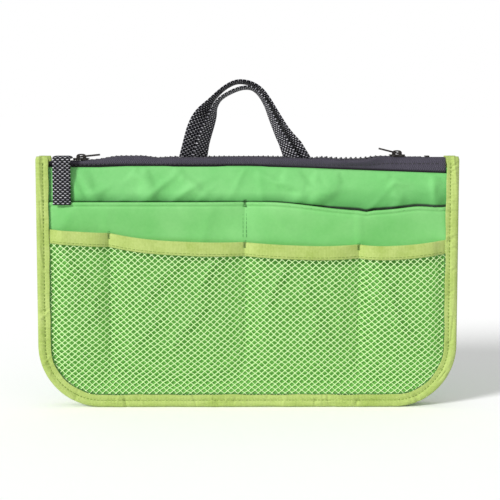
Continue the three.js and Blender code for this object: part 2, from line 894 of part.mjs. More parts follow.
function slider_body() {
  const plate = slider_outline(0);
  const overlap = slider_plate / 2;
  const top_plate = slab_at(plate, cavity_top, slider_plate);
  const bottom_plate = slab_at(slider_outline(slider_flange), cavity_bottom - slider_plate, slider_plate);
  const post_shape = new THREE.Shape();
  const post_end = slider_length / 2 - post_width / 2;
  post_shape.moveTo(post_end - post_length, -post_width / 2);
  post_shape.lineTo(post_end, -post_width / 2);
  post_shape.lineTo(post_end, post_width / 2);
  post_shape.lineTo(post_end - post_length, post_width / 2);
  const post_height = cavity_top - cavity_bottom + 2 * overlap;
  const post = slab_at(post_shape, cavity_bottom - overlap, post_height);
  const rim = slab_at(plate, cavity_top - slider_flange, slider_flange + overlap)
    .subtract(slab_at(slider_outline(slider_flange), cavity_top - slider_plate, 2 * slider_plate));
  const mouth_width = slider_nose_width - 2 * slider_flange;
  const mouth = new THREE.BoxGeometry(slider_length / 2, mouth_width, slider_height);
  mouth.translate(slider_length / 2, 0, cavity_top);
  const tail_width = slider_tail_width - 2 * slider_flange;
  const tail = new THREE.BoxGeometry(slider_length / 4, tail_width, slider_height);
  tail.translate(-slider_length / 2, 0, cavity_top);
  const flanges = rim.subtract(to_manifold(mouth)).subtract(to_manifold(tail));
  return top_plate.add(bottom_plate).add(post).add(flanges).add(crown());
}

// The crown is a bridge over the pull's bar.
const plate_top = cavity_top + slider_plate;
const tunnel = pull_bar * Math.SQRT2 + running_gap;
const pivot_height = plate_top + tunnel / 2;

function crown() {
  const half = crown_length / 2;
  const top = tunnel + crown_wall;
  const foot = -slider_plate / 2;
  const shape = new THREE.Shape();
  shape.moveTo(-half, foot);
  shape.lineTo(half, foot);
  shape.lineTo(half, crown_wall);
  shape.quadraticCurveTo(half, top, half - top, top);
  shape.lineTo(top - half, top);
  shape.quadraticCurveTo(-half, top, -half, crown_wall);
  const hole = new THREE.Path();
  hole.moveTo(-tunnel / 2, 0);
  hole.lineTo(-tunnel / 2, tunnel);
  hole.lineTo(tunnel / 2, tunnel);
  hole.lineTo(tunnel / 2, 0);
  shape.holes.push(hole);
  const geometry = new THREE.ExtrudeGeometry(shape, {
    depth: crown_width,
    bevelEnabled: false,
    curveSegments: 4,
  });
  geometry.rotateX(Math.PI / 2);
  geometry.translate(0, crown_width / 2, plate_top);
  return to_manifold(geometry);
}

// The pull is a long loop whose bar lies in the crown's tunnel.
function pull_tab() {
  const half = pull_width / 2;
  const far = pull_length - half;
  const shape = new THREE.Shape();
  shape.moveTo(-pull_bar / 2, -half);
  shape.lineTo(far, -half);
  shape.absarc(far, 0, half, -Math.PI / 2, Math.PI / 2, false);
  shape.lineTo(-pull_bar / 2, half);
  const window_half = half - pull_wall;
  const window_far = far - pull_wall / 2;
  const hole = new THREE.Path();
  hole.moveTo(window_far, -window_half);
  hole.absarc(window_far, 0, window_half, -Math.PI / 2, Math.PI / 2, false);
  hole.lineTo(pull_bar / 2, window_half);
  hole.lineTo(pull_bar / 2, -window_half);
  shape.holes.push(hole);
  const geometry = new THREE.ExtrudeGeometry(shape, {
    depth: pull_bar,
    bevelEnabled: false,
    curveSegments: 8,
  });
  geometry.translate(0, 0, -pull_bar / 2);
  return closed(geometry);
}

function slider(label, x, rise, turned, tilt) {
  const group = new THREE.Group();
  group.position.set(x, 0, rise);
  group.rotation.z = turned ? Math.PI : 0;
  organizer.add(group);
  piece(`${label}_slider`, from_manifold(slider_body()), gunmetal, group);
  const pull = piece(`${label}_pull`, pull_tab(), gunmetal, group);
  pull.position.z = pivot_height;
  pull.rotation.y = -radians(tilt);
}
slider("left", left_slider_x, 0, false, left_pull_tilt);
slider("right", right_slider_x, right_rise, true, right_pull_tilt);

// Handles: each loop stands on two sewn ends, and turns edge-on sooner on its right leg than on its left.
// The arch is a line of shares of half the span and of the rise.
const front_arch_shares = [
  [-1, 0], [-0.89, 0.26], [-0.77, 0.49], [-0.7, 0.67], [-0.58, 0.8], [-0.33, 0.92], [-0.02, 1],
  [0.2, 0.99], [0.37, 0.9], [0.54, 0.71], [0.68, 0.475], [0.85, 0.2], [1, 0],
];
const back_arch_shares = [
  [-1, 0], [-0.92, 0.24], [-0.82, 0.445], [-0.69, 0.62], [-0.5, 0.8], [-0.29, 0.94], [-0.1, 1],
  [0.13, 0.975], [0.32, 0.88], [0.47, 0.72], [0.6, 0.53], [0.78, 0.27], [1, 0],
];
const sewn_level = lining_middle - sewn_gap - webbing_thickness / 2;
const left_twist_shares = [0.2, 0.45];
const right_twist_share = 0.34;
const arch_steps = 28;

function handle(side, centre, span, rise, shares) {
  const level = side * sewn_level;
  const bottom = fold_height + sewn_gap;
  const line = new THREE.CatmullRomCurve3(
    shares.map(([across, up]) => new THREE.Vector3(centre + (across * span) / 2, level, bottom + up * rise)),
    false,
    "centripetal",
  );
  const sections = [];
  for (let i = 0; i <= arch_steps; i += 1) {
    const share = i / arch_steps;
    const at = line.getPointAt(share);
    const way = line.getTangentAt(share);
    const left_twist = soft((share - left_twist_shares[0]) / (left_twist_shares[1] - left_twist_shares[0]));
    const twist = (Math.PI / 2) * Math.min(left_twist, soft((1 - share) / right_twist_share));
    const in_plane = new THREE.Vector3(way.z, 0, -way.x);
    const across = new THREE.Vector3(0, side, 0);
    const wide = in_plane.clone().multiplyScalar(Math.cos(twist)).addScaledVector(across, Math.sin(twist));
    const thin = in_plane.clone().multiplyScalar(-Math.sin(twist)).addScaledVector(across, Math.cos(twist));
    if (i === 0 || i === arch_steps) {
      wide.set(Math.sign(wide.x), 0, 0);
      thin.set(0, Math.sign(thin.y), 0);
    }
    const section = [[1, 1], [-1, 1], [-1, -1], [1, -1]].map(([w, t]) => {
      const corner = at.clone().addScaledVector(wide, (w * webbing_width) / 2);
      corner.addScaledVector(thin, (t * webbing_thickness) / 2);
      return corner.toArray();
    });
    sections.push(section);
  }
  return loft(sections);
}

// The sewn ends lean with their legs, so each is a slanted strip.
function sewn_ends(side, feet) {
  const height = fold_height - sewn_gap - sewn_end_bottom;
  return feet.map((x, i) => {
    const spread = height * Math.tan(radians(i === 0 ? -left_foot_lean : right_foot_lean));
    return loft([[sewn_end_bottom, x + spread], [sewn_end_bottom + height, x]].map(([z, centre]) =>
      [[1, 1], [-1, 1], [-1, -1], [1, -1]].map(([w, t]) => [
        centre + (w * webbing_width) / 2,
        side * sewn_level + (t * webbing_thickness) / 2,
        z,
      ])));
  });
}

piece(
  "front_handle",
  handle(front, front_handle_centre, front_handle_span, front_handle_rise, front_arch_shares),
  webbing,
);
piece(
  "back_handle",
  handle(back, back_handle_centre, back_handle_span, back_handle_rise, back_arch_shares),
  webbing,
);
for (const [side, label, feet] of [[front, "front", front_feet], [back, "back", back_feet]]) {
  const [left, right] = sewn_ends(side, feet);
  piece(`${label}_handle_left_end`, left, webbing);
  piece(`${label}_handle_right_end`, right, webbing);
}

// Zipper end tab: webbing that lies over the zipper's left end and hangs down in front
function end_tab() {
  const ridge = chain_height + tape_thickness / 2 + running_gap + stop_height + running_gap;
  const height = ridge + webbing_thickness / 2;
  const start = chain_edge + spine_width;
  const path = [[start, height], [-start, height + webbing_thickness]];
  const bend_steps = 5;
  for (let i = 0; i <= bend_steps; i += 1) {
    const angle = (Math.PI / 2) * (i / bend_steps);
    path.push([
      -tab_reach + tab_bend - tab_bend * Math.sin(angle),
      height + webbing_thickness - tab_bend + tab_bend * Math.cos(angle),
    ]);
  }
  path.push([-tab_reach, tab_bottom]);
  const outline = ribbon_outline(path, webbing_thickness);
  const left = tab_centre - webbing_width / 2;
  return loft([left, left + webbing_width].map((x) => outline.map(([y, z]) => [x, y, z])));
}
piece("zipper_end_tab", end_tab(), webbing);

// The overall box stands centred on the origin: the front's pockets reach further out than the back's.
const overall = new THREE.Box3().setFromObject(organizer, true);
organizer.position.y = -(overall.min.y + overall.max.y) / 2;

export default organizer;
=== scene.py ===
# %% [markdown]
# # A purse organizer insert
# The real object is a slim padded cloth bag that stands inside a handbag. Its two walls are layers of nylon
# and foam, caught all round in a folded lime tape. A net pocket and two slip pockets lie on the front, an open
# zipper runs along the top, and two webbing handles come out of the mouth. Each piece is made as a surface
# from two parameters, in millimetres, and laid over the solid of the same name. The bag could also be sculpted as
# one soft form, but then no piece could move, or be looked at alone.

import bpy
import numpy as np
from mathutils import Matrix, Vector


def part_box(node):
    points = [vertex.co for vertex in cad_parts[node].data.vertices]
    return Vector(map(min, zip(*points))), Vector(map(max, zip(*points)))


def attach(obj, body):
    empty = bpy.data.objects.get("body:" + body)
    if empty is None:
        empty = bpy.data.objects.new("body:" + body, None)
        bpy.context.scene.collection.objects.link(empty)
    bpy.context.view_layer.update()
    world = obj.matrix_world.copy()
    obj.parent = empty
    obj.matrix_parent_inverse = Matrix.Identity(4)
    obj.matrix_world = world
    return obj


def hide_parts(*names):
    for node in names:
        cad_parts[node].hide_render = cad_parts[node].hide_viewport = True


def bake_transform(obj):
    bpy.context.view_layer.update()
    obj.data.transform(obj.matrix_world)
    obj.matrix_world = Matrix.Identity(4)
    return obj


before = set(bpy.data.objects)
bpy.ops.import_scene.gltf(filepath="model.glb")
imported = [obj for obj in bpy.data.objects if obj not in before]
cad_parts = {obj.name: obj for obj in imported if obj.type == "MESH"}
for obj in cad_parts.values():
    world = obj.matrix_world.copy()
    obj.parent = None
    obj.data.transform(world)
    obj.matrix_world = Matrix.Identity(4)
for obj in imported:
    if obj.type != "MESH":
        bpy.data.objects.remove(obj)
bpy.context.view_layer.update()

# %% [markdown]
# ## The measures
# All the layers are parallel to the front, so a point is given by its place across (x), its height (z) and
# its distance from the middle plane. Keeping these three apart lets one formula serve the front and the back.
# Each wall could be modelled by itself, but the two would then drift apart as they are changed.

# %% Sizes in millimetres
MM = 0.001
HALF_WIDTH, CORNER, SHELL_TOP = 150.0, 45.0, 172.0
TAPE_WIDTH, INSET = 9.3, 0.9
SEAM_EDGE = HALF_WIDTH - TAPE_WIDTH
FRONT, BACK = -1, 1
SIDES = {"front": FRONT, "back": BACK}
# Levels are distances from the middle plane, outwards.
LINING, SHELL, SLIP, NET = 5.0, 8.2, 8.35, 8.9
# Cloth thicknesses. Real nylon is thinner, and these show a soft edge.
PANEL_CLOTH, LINING_CLOTH, POCKET_CLOTH, GUSSET_CLOTH, TAPE_CLOTH = 0.5, 0.35, 0.4, 0.45, 0.5
MIDDLE = (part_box("front_shell_panel")[0][1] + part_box("back_shell_panel")[1][1]) / 2 / MM
print("middle plane at y =", round(MIDDLE, 3), "mm")


# %% Formulas for shapes
def soft_step(share):
    """0 below 0, 1 above 1, and 3t^2 - 2t^3 between."""
    t = np.clip(share, 0, 1)
    return t * t * (3 - 2 * t)


def edge_distance(x, z):
    """Distance inwards from the U of the outline: straight sides, and quarter circles at the bottom corners."""
    across, down = np.abs(x) - (HALF_WIDTH - CORNER), CORNER - z
    round_part = CORNER - np.hypot(across, down)
    return np.where((across > 0) & (down > 0), round_part, np.minimum(HALF_WIDTH - np.abs(x), z))


def half_width_at(z, inset):
    """Half the outline's width at a height: the circle's half chord below the corners' centres."""
    radius = CORNER - inset
    drop = np.clip(CORNER - z, 0, radius)
    return HALF_WIDTH - CORNER + np.sqrt(radius**2 - drop**2)


def clear_of_tape(x, z, reach):
    """0 under the binding, rising softly to 1 at a distance further in."""
    return soft_step((edge_distance(x, z) - TAPE_WIDTH) / reach)


def length_along(path, power=1.0):
    """Length so far at each point of a path: the sum of the steps, each to a power."""
    steps = np.linalg.norm(np.diff(path, axis=0), axis=1)
    return np.concatenate([[0], np.cumsum(steps**power)])


def place(x, level, z, side):
    """Points at x, at height z and at a distance from the middle plane, on the front or the back side."""
    x, level, z = np.broadcast_arrays(x, level, z)
    return np.stack([x, MIDDLE + side * level, z], axis=-1).astype(float)


def grid_quads(rows, columns, wrap=False):
    """Four corners of each cell of a grid of points, whose last column is joined to the first where it wraps."""
    r = np.arange(rows - 1)[:, None]
    c = np.arange(columns if wrap else columns - 1)[None, :]
    below, beside = r + 1, (c + 1) % columns
    corners = [r * columns + c, r * columns + beside, below * columns + beside, below * columns + c]
    return np.stack(np.broadcast_arrays(*corners), axis=-1).reshape(-1, 4)


print("half width 20 mm up:", round(float(half_width_at(20.0, 0.0)), 2), "mm")


# %% From points to a piece
def cloth_map(along, across):
    """The cloth's own coordinates at each point of a grid, in millimetres."""
    return np.stack(np.broadcast_arrays(along, across), axis=-1)


def mesh_piece(name, points, quads, uv=None, flip=False):
    """A mesh object from points in millimetres and faces of equal corner count, with uv in millimetres."""
    points = np.asarray(points, float).reshape(-1, 3) * MM
    quads = np.asarray(quads, np.int32)[:, ::-1] if flip else np.asarray(quads, np.int32)
    mesh = bpy.data.meshes.new(name)
    mesh.vertices.add(len(points))
    mesh.vertices.foreach_set("co", points.ravel())
    mesh.loops.add(quads.size)
    mesh.loops.foreach_set("vertex_index", quads.ravel())
    mesh.polygons.add(len(quads))
    mesh.polygons.foreach_set("loop_start", np.arange(0, quads.size, quads.shape[1], dtype=np.int32))
    mesh.update(calc_edges=True)
    mesh.polygons.foreach_set("use_smooth", np.ones(len(mesh.polygons), bool))
    if uv is not None:
        layer = mesh.uv_layers.new(name="cloth_mm")
        layer.data.foreach_set("uv", np.asarray(uv, float).reshape(-1, 2)[quads.ravel()].ravel())
    mesh.validate()
    made = bpy.data.objects.new(name, mesh)
    bpy.context.scene.collection.objects.link(made)
    return made


def modifier(obj, kind, **settings):
    """Adds one modifier and sets its values."""
    made = obj.modifiers.new(kind.lower(), kind)
    for key, value in settings.items():
        setattr(made, key, value)
    return made


def thicken(obj, thickness, offset=-1):
    """Gives a cloth surface its thickness in millimetres, inwards by default."""
    modifier(obj, "SOLIDIFY", thickness=thickness * MM, offset=offset, use_even_offset=True)


def finish_piece(obj, body, slot, material, *nodes):
    """Rides the piece on its body, gives it its material and hides the solids it stands for. Its slot is not used."""
    obj.data.materials.clear()
    obj.data.materials.append(material)
    if body:
        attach(obj, body)
    if nodes:
        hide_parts(*nodes)
    print(f"{obj.name}: {len(obj.data.polygons)} faces")


print("a grid of 3 by 4 points has", len(grid_quads(3, 4)), "faces")

# %% [markdown]
# ## Camera, floor and light
# The photo looks at the front from a little above. A pinhole fit to the bag's corners gives the lens and the
# place, where a lens set by eye would hold at one edge and miss at another. The floor and the world are white to
# the camera, and a large soft sun from the front left leaves the pale shadow at the right. Lamps on stands could
# do the same, but a sun lights every pose alike.

# %% Camera
VIEW_WIDTH_PX = 500
FOCAL_PX = 1395.0
SENSOR_MM = 36.0
camera_data = bpy.data.cameras.new("camera")
camera_data.sensor_width = SENSOR_MM
camera_data.lens = FOCAL_PX / VIEW_WIDTH_PX * SENSOR_MM
camera_data.clip_end = 50
camera = bpy.data.objects.new("camera", camera_data)
bpy.context.scene.collection.objects.link(camera)
elevation, azimuth, distance = np.radians(6.0), np.radians(0.3), 1.0
aim = np.array([0.00181, 0.0, 0.1128])
forward = np.array([
    np.sin(azimuth) * np.cos(elevation), np.cos(azimuth) * np.cos(elevation), -np.sin(elevation),
])
camera.location = aim - distance * forward
camera.rotation_euler = (np.pi / 2 - elevation, 0, -azimuth)
bpy.context.scene.camera = camera
print("camera at", np.round(camera.location, 3))


# %% Nodes and colours
def linear(hex_colour):
    """sRGB hex to linear red, green, blue and alpha."""
    value = np.array([int(hex_colour[i:i + 2], 16) for i in (1, 3, 5)]) / 255
    flat = np.where(value <= 0.04045, value / 12.92, ((value + 0.055) / 1.055) ** 2.4)
    return (*flat, 1.0)


def new_tree(owner):
    """Turns on the nodes of a material or a world, and empties them."""
    owner.use_nodes = True
    owner.node_tree.nodes.clear()
    return owner


def add_node(owner, kind, inputs=(), **settings):
    """Adds a node with its settings. Its inputs are listed in order or by name: a node or a socket is linked,
    a hex colour is turned linear, and any other value is set."""
    made = owner.node_tree.nodes.new("ShaderNode" + kind)
    for key, value in settings.items():
        setattr(made, key, value)
    for key, value in inputs.items() if isinstance(inputs, dict) else enumerate(inputs):
        if isinstance(value, bpy.types.Node):
            value = value.outputs[0]
        if isinstance(value, bpy.types.NodeSocket):
            owner.node_tree.links.new(value, made.inputs[key])
        else:
            made.inputs[key].default_value = linear(value) if isinstance(value, str) else value
    return made


print("the grey #808080 is", round(float(linear("#808080")[0]), 3), "in linear light")

# %% Floor and light
FLOOR_SIZE, FLOOR_SHADE, FLOOR_SEEN = 40.0, 0.9, 1.27
FILL, WORLD_SEEN = 0.46, 1.0
SUN_STRENGTH, SUN_ANGLE, TOWARDS_SUN = 2.5, 14, np.array([-0.62, -0.66, 0.42])


def seen_straight(owner):
    """1 for what the camera sees straight, in a reflection or through glass, and 0 for light that bounces."""
    path = add_node(owner, "LightPath")
    seen = path.outputs["Is Camera Ray"]
    for kind in ("Is Glossy Ray", "Is Transmission Ray"):
        seen = add_node(owner, "Math", [seen, path.outputs[kind]], operation="MAXIMUM")
    return seen


corners = np.array([[-1, -1, 0], [1, -1, 0], [1, 1, 0], [-1, 1, 0]])
floor = mesh_piece("floor", corners * FLOOR_SIZE / 2 / MM, [[0, 1, 2, 3]])
paper = new_tree(bpy.data.materials.new("white paper floor"))
white = add_node(paper, "MapRange", {"Value": seen_straight(paper), "To Min": FLOOR_SHADE, "To Max": FLOOR_SEEN})
add_node(paper, "OutputMaterial", [add_node(paper, "BsdfDiffuse", [white])])
floor.data.materials.append(paper)

world = new_tree(bpy.data.worlds.new("studio"))
bpy.context.scene.world = world
strength = add_node(world, "MapRange", {"Value": seen_straight(world), "To Min": FILL, "To Max": WORLD_SEEN})
add_node(world, "OutputWorld", [add_node(world, "Background", ["#ffffff", strength])])

sun_data = bpy.data.lights.new("soft key", "SUN")
sun_data.energy = SUN_STRENGTH
sun_data.angle = np.radians(SUN_ANGLE)
sun = bpy.data.objects.new("soft key", sun_data)
bpy.context.scene.collection.objects.link(sun)
sun_x, sun_y, sun_z = TOWARDS_SUN
sun.rotation_euler = (np.arctan2(np.hypot(sun_x, sun_y), sun_z), 0, np.arctan2(sun_x, -sun_y))
bpy.context.scene.view_settings.view_transform = "Standard"
print("sun from", TOWARDS_SUN)

# %% [markdown]
# ## Materials
# Each finish starts from the real stuff. The body is a light polyester oxford with a soft sheen. The tape and
# the webbing are woven narrow goods whose ribs run across their length, so they read a UV map in millimetres.
# The sliders are zinc with a dark plated finish, and the teeth are moulded acetal. A picture of cloth could be
# wrapped over each piece, but a pattern that is worked out keeps its size in millimetres and never shows a seam.
# Few formulas serve them all: a wave for yarns and ribs, a weighted sum, and a change of colour over a range.


# %% Formulas for finishes
def object_mm(m):
    """The piece's own coordinates in millimetres."""
    own = add_node(m, "TexCoord").outputs["Object"]
    return add_node(m, "VectorMath", {0: own, "Scale": 1 / MM}, operation="SCALE")


def cloth_mm(m):
    """Two sockets from the piece's cloth map, in millimetres: along the piece, and across it."""
    return add_node(m, "SeparateXYZ", [add_node(m, "UVMap", uv_map="cloth_mm")]).outputs[:2]


def waves(m, value, pitch_mm):
    """sin(2 pi value / pitch), from -1 to 1."""
    turns = add_node(m, "Math", [value, 2 * np.pi / pitch_mm], operation="MULTIPLY")
    return add_node(m, "Math", [turns], operation="SINE")


def ribs(m, value, pitch_mm):
    """Waves from 0 to 1."""
    return add_node(m, "MapRange", [waves(m, value, pitch_mm), -1, 1])


def weighted(m, *terms):
    """The sum of value times weight."""
    total = 0.0
    for value, weight in terms:
        total = add_node(m, "Math", [value, weight, total], operation="MULTIPLY_ADD")
    return total


def tones(m, value, low, high, first, second):
    """The first colour where the value is under low, the second where it is over high, and a mix between."""
    share = add_node(m, "MapRange", [value, low, high])
    return add_node(m, "Mix", {0: share, 6: first, 7: second}, data_type="RGBA").outputs[2]


def surface(m, tone, relief, depth_mm, roughness, **more):
    """Ends a material with its colour, a relief of height 0 to 1 times a depth, and its shader's values."""
    bump = add_node(m, "Bump", {"Height": relief, "Distance": depth_mm * MM})
    inputs = {"Base Color": tone, "Normal": bump, "Roughness": roughness}
    inputs.update({key.replace("_", " "): value for key, value in more.items()})
    add_node(m, "OutputMaterial", [add_node(m, "BsdfPrincipled", inputs)])
    print("material:", m.name)
    return m


print("formulas for finishes: places, waves, ribs, sums, tones and a surface")

# %% Nylon
YARN, CLOUD, SLUB = 0.9, 26.0, 2.2


def oxford_nylon(name, dark, light, roughness=0.62, net_shade=None, mouth=None):
    """Plain weave of fine yarns, which gives the eye a smooth, faintly cloudy cloth with a soft sheen at its
    edges. Real yarns lie 0.3 mm apart and are drawn 0.9 mm apart, so that they show.
    Under a net the cloth has painted shade: a deeper tone below a line that falls by 43 mm in a metre behind the
    band. Above a pocket's hem it has painted shade from the pocket's mouth: a soft one that fades out by v = 9 of
    the cloth map, and a dark line up to about v = 1 of it, which is deeper on the right."""
    m = new_tree(bpy.data.materials.new(name))
    spot = object_mm(m)
    x, _, z = add_node(m, "SeparateXYZ", [spot]).outputs
    weave = add_node(m, "Math", [waves(m, x, YARN), waves(m, z, YARN)], operation="MULTIPLY")
    cloud = add_node(m, "TexNoise", {"Vector": spot, "Scale": 1 / CLOUD, "Detail": 3.0})
    slub = add_node(m, "TexNoise", {"Vector": spot, "Scale": 1 / SLUB, "Detail": 5.0})
    tone = tones(m, weighted(m, (cloud, 0.8), (slub, 0.2)), 0.2, 0.8, dark, light)
    # Painted shade of the net on the cloth beneath it, below a sloping line.
    if net_shade:
        tone = tones(m, weighted(m, (z, 1.0), (x, 0.043)), 113.0, 121.0, net_shade, tone)
    # Painted shade from the pocket's mouth: a soft one up to v = 9, and a dark line up to about v = 1.
    if mouth:
        along, above = cloth_mm(m)
        soft, shallow, deep = mouth
        tone = tones(m, above, 0.0, 9.0, soft, tone)
        tone = tones(m, above, 0.7, 1.25, tones(m, along, 5.0, 50.0, shallow, deep), tone)
    sheen = {"Sheen_Weight": 0.25, "Sheen_Roughness": 0.4, "Sheen_Tint": light}
    return surface(m, tone, weighted(m, (weave, 0.4), (slub, 0.6)), 0.1, roughness, IOR=1.5, **sheen)


# %% Tape, webbing and thread
def ribbed_tape(name, dark, light):
    """Fine-ribbed tape: shallow ribs across it, 0.7 mm apart on the real one and drawn a little wider. To the eye
    they break up the light, so the tape looks dry and matt beside the nylon."""
    m = new_tree(bpy.data.materials.new(name))
    along, across = cloth_mm(m)
    rib, edge_rib, spot = ribs(m, along, 1.1), ribs(m, across, 2.1), object_mm(m)
    fuzz = add_node(m, "TexNoise", {"Vector": spot, "Scale": 1 / 1.6, "Detail": 4.0})
    cloud = add_node(m, "TexNoise", {"Vector": spot, "Scale": 1 / 18.0, "Detail": 3.0})
    tone = tones(m, weighted(m, (rib, 0.1), (cloud, 0.6), (fuzz, 0.4)), 0.3, 0.85, dark, light)
    relief = weighted(m, (rib, 0.6), (edge_rib, 0.25), (fuzz, 1.0))
    return surface(m, tone, relief, 0.1, 0.8, Sheen_Weight=0.2, IOR=1.5)


def fleck_webbing(name):
    """Charcoal webbing with rows of pale dashes across it, set alternately, where the light weft comes up. From
    further off it looks dark grey with a sparkle."""
    m = new_tree(bpy.data.materials.new(name))
    along, across = cloth_mm(m)
    spot = object_mm(m)
    uneven = add_node(m, "TexNoise", {"Vector": spot, "Scale": 1 / 2.6, "Detail": 2.0})
    fuzz = add_node(m, "TexNoise", {"Vector": spot, "Scale": 1 / 0.7, "Detail": 4.0})
    row = waves(m, weighted(m, (along, 1.0), (uneven, 0.5)), 2.8)
    column = waves(m, across, 3.4)
    both = add_node(m, "Math", [row, column], operation="MULTIPLY")
    fleck = add_node(m, "MapRange", [both, 0.0, 0.06])
    for wave, low, high in ((row, 0.68, 0.88), (column, 0.08, 0.32)):
        size = add_node(m, "Math", [wave], operation="ABSOLUTE")
        inside = add_node(m, "MapRange", [size, low, high])
        fleck = add_node(m, "Math", [fleck, inside], operation="MULTIPLY")
    ground = tones(m, fuzz, 0.35, 0.7, "#060609", "#201f26")
    pale = tones(m, uneven, 0.35, 0.65, "#a4a2ae", "#f4f3f8")
    relief = weighted(m, (ribs(m, across, 1.7), 1.0), (fuzz, 0.6), (fleck, 1.1))
    return surface(m, tones(m, fleck, 0, 1, ground, pale), relief, 0.25, 0.75, Specular_IOR_Level=0.25, IOR=1.5)


def zipper_weave(name):
    """Zipper tape: a close herringbone of polyester, dull and grey with a hint of purple. Just above the panel's
    folded top it is painted near black as shade; that top slopes down on the right by 37 mm in a metre."""
    m = new_tree(bpy.data.materials.new(name))
    along, across = cloth_mm(m)
    spot = object_mm(m)
    rib = ribs(m, weighted(m, (along, 1.0), (waves(m, across, 3.0), 0.6)), 1.3)
    fuzz = add_node(m, "TexNoise", {"Vector": spot, "Scale": 1 / 0.8, "Detail": 4.0})
    share = weighted(m, (rib, 0.6), (fuzz, 0.5))
    x, _, z = add_node(m, "SeparateXYZ", [spot]).outputs
    right = add_node(m, "Math", [x, 0.0], operation="MAXIMUM")
    slope = weighted(m, (z, 1.0), (right, 0.037))
    # Painted shade: near black on the tape just above the panel's folded top.
    tone = tones(m, slope, 174.0, 175.5, "#08080b", tones(m, share, 0.3, 0.9, "#2a2732", "#65616f"))
    return surface(m, tone, share, 0.25, 0.85, Specular_IOR_Level=0.3)


def thread(name, dark, light):
    """Spun sewing or net thread: a fine twist, drawn as short noise, which gives a stitch a soft, dry edge."""
    m = new_tree(bpy.data.materials.new(name))
    fuzz = add_node(m, "TexNoise", {"Vector": object_mm(m), "Scale": 1 / 0.7, "Detail": 3.0})
    return surface(m, tones(m, fuzz, 0.3, 0.7, dark, light), fuzz, 0.08, 0.6, Sheen_Weight=0.2)


# %% Plastic and metal
def hard_finish(name, dark, light, metallic, roughness, grain_mm, depth_mm):
    """Moulded plastic or plated zinc: a fine uneven skin and slightly worn tone, which spread a highlight and
    keep it from looking like glass."""
    m = new_tree(bpy.data.materials.new(name))
    grain = add_node(m, "TexNoise", {"Vector": object_mm(m), "Scale": 1 / grain_mm, "Detail": 5.0})
    rough = add_node(m, "MapRange", [grain, 0.3, 0.7, roughness - 0.08, roughness + 0.1])
    return surface(m, tones(m, grain, 0.35, 0.7, dark, light), grain, depth_mm, rough, Metallic=metallic)


# %% All the finishes
GREEN = ("#69c266", "#87d480")
nylon = oxford_nylon("green polyester oxford", *GREEN)
# The front pocket's cloth, with the net's painted shade below the band.
net_shaded_nylon = oxford_nylon("green polyester oxford under the net", "#6ec566", "#8fd884", net_shade="#6cb24a")
# The panel's cloth, with painted shade above the pocket's hem: a soft one, and a dark line that is deeper on the
# right.
mouth_shaded_nylon = oxford_nylon(
    "green polyester oxford with a shaded mouth", *GREEN, mouth=("#4fa04e", "#1f5a22", "#0b290d"),
)
lining_cloth = oxford_nylon("green lining taffeta", "#4faf4e", "#6cc167", 0.7)
foam = oxford_nylon("white needled wadding", "#dcdcd4", "#f0f0ea", 0.95)
lime_tape = ribbed_tape("lime polyester grosgrain", "#9ab34e", "#c8da84")
net_thread = thread("lime net yarn", "#c6f598", "#eaffc8")
sewing_thread = thread("olive sewing thread", "#66802c", "#8fa845")
tape_thread = thread("black sewing thread", "#0f0e13", "#26242c")
edge_thread = thread("dark green seam thread", "#2f6a2a", "#4c8c40")
green_thread = thread("green sewing thread", "#3a8a38", "#5aaa55")
webbing = fleck_webbing("charcoal fleck webbing")
zipper_tape = zipper_weave("grey zipper tape")
acetal = hard_finish("moulded acetal teeth", "#1f1e24", "#35333b", 0.0, 0.38, 1.2, 0.03)
gunmetal = hard_finish("gunmetal plated zinc", "#232120", "#4b4846", 1.0, 0.34, 0.8, 0.02)

# %% [markdown]
# ## The two walls
# Each wall is an outer nylon panel over foam, with a lining inside. The panel is a grid of points: rows
# follow the rounded corners and then climb to the top, and columns are shares of the width at each height.
# Loose cloth over foam puckers, so shallow slanting folds are added as long soft ridges. The folds could be
# sculpted with a brush, but a table of ridges can be read, moved and used again on the other pieces.


# %% The wall's grid
def wall_rows(inset, top, low_rows, high_rows, high_from):
    """Heights: round the corners by equal angles, then few rows up to high_from and many to the top."""
    angle = np.linspace(0, np.pi / 2, 12)
    low = CORNER - (CORNER - inset) * np.cos(angle)
    middle = np.linspace(CORNER, high_from, low_rows + 1)[1:]
    high = np.linspace(high_from, top, high_rows + 1)[1:]
    return np.concatenate([low, middle, high])


def wall_grid(inset, top, columns, low_rows=12, high_rows=30, high_from=140.0):
    """x and z of the panel's grid: x is a share of the half width at the row's height."""
    z = wall_rows(inset, top, low_rows, high_rows, high_from)[:, None]
    share = np.linspace(-1, 1, columns)[None, :]
    return share * half_width_at(z, inset), np.broadcast_to(z, (len(z), columns))


print("grid of a panel:", wall_grid(INSET, SHELL_TOP, 220)[0].shape)


# %% Folds
def ridges(x, z, table):
    """Sum of long soft ridges. Each row of the table is x, z, turn in degrees, length, width and height."""
    total = np.zeros(np.broadcast(x, z).shape)
    for px, pz, turn, length, width, height in table:
        c, s = np.cos(np.radians(turn)), np.sin(np.radians(turn))
        along = (x - px) * c + (z - pz) * s
        over = -(x - px) * s + (z - pz) * c
        total += height * np.exp(-((over / width) ** 2) - (along / (length / 2)) ** 4)
    return total


def random_ridges(seed, count, x_range, z_range, turns, lengths, widths, heights):
    """A seeded table of ridges spread over a region."""
    draw = np.random.default_rng(seed).uniform(size=(count, 6))
    ranges = np.array([x_range, z_range, turns, lengths, widths, heights], float)
    return ranges[:, 0] + draw * (ranges[:, 1] - ranges[:, 0])


print("a ridge 2 mm wide is", round(float(ridges(0.0, 2.0, [(0, 0, 0, 40, 2, 1)])), 2), "of its height at 2 mm")


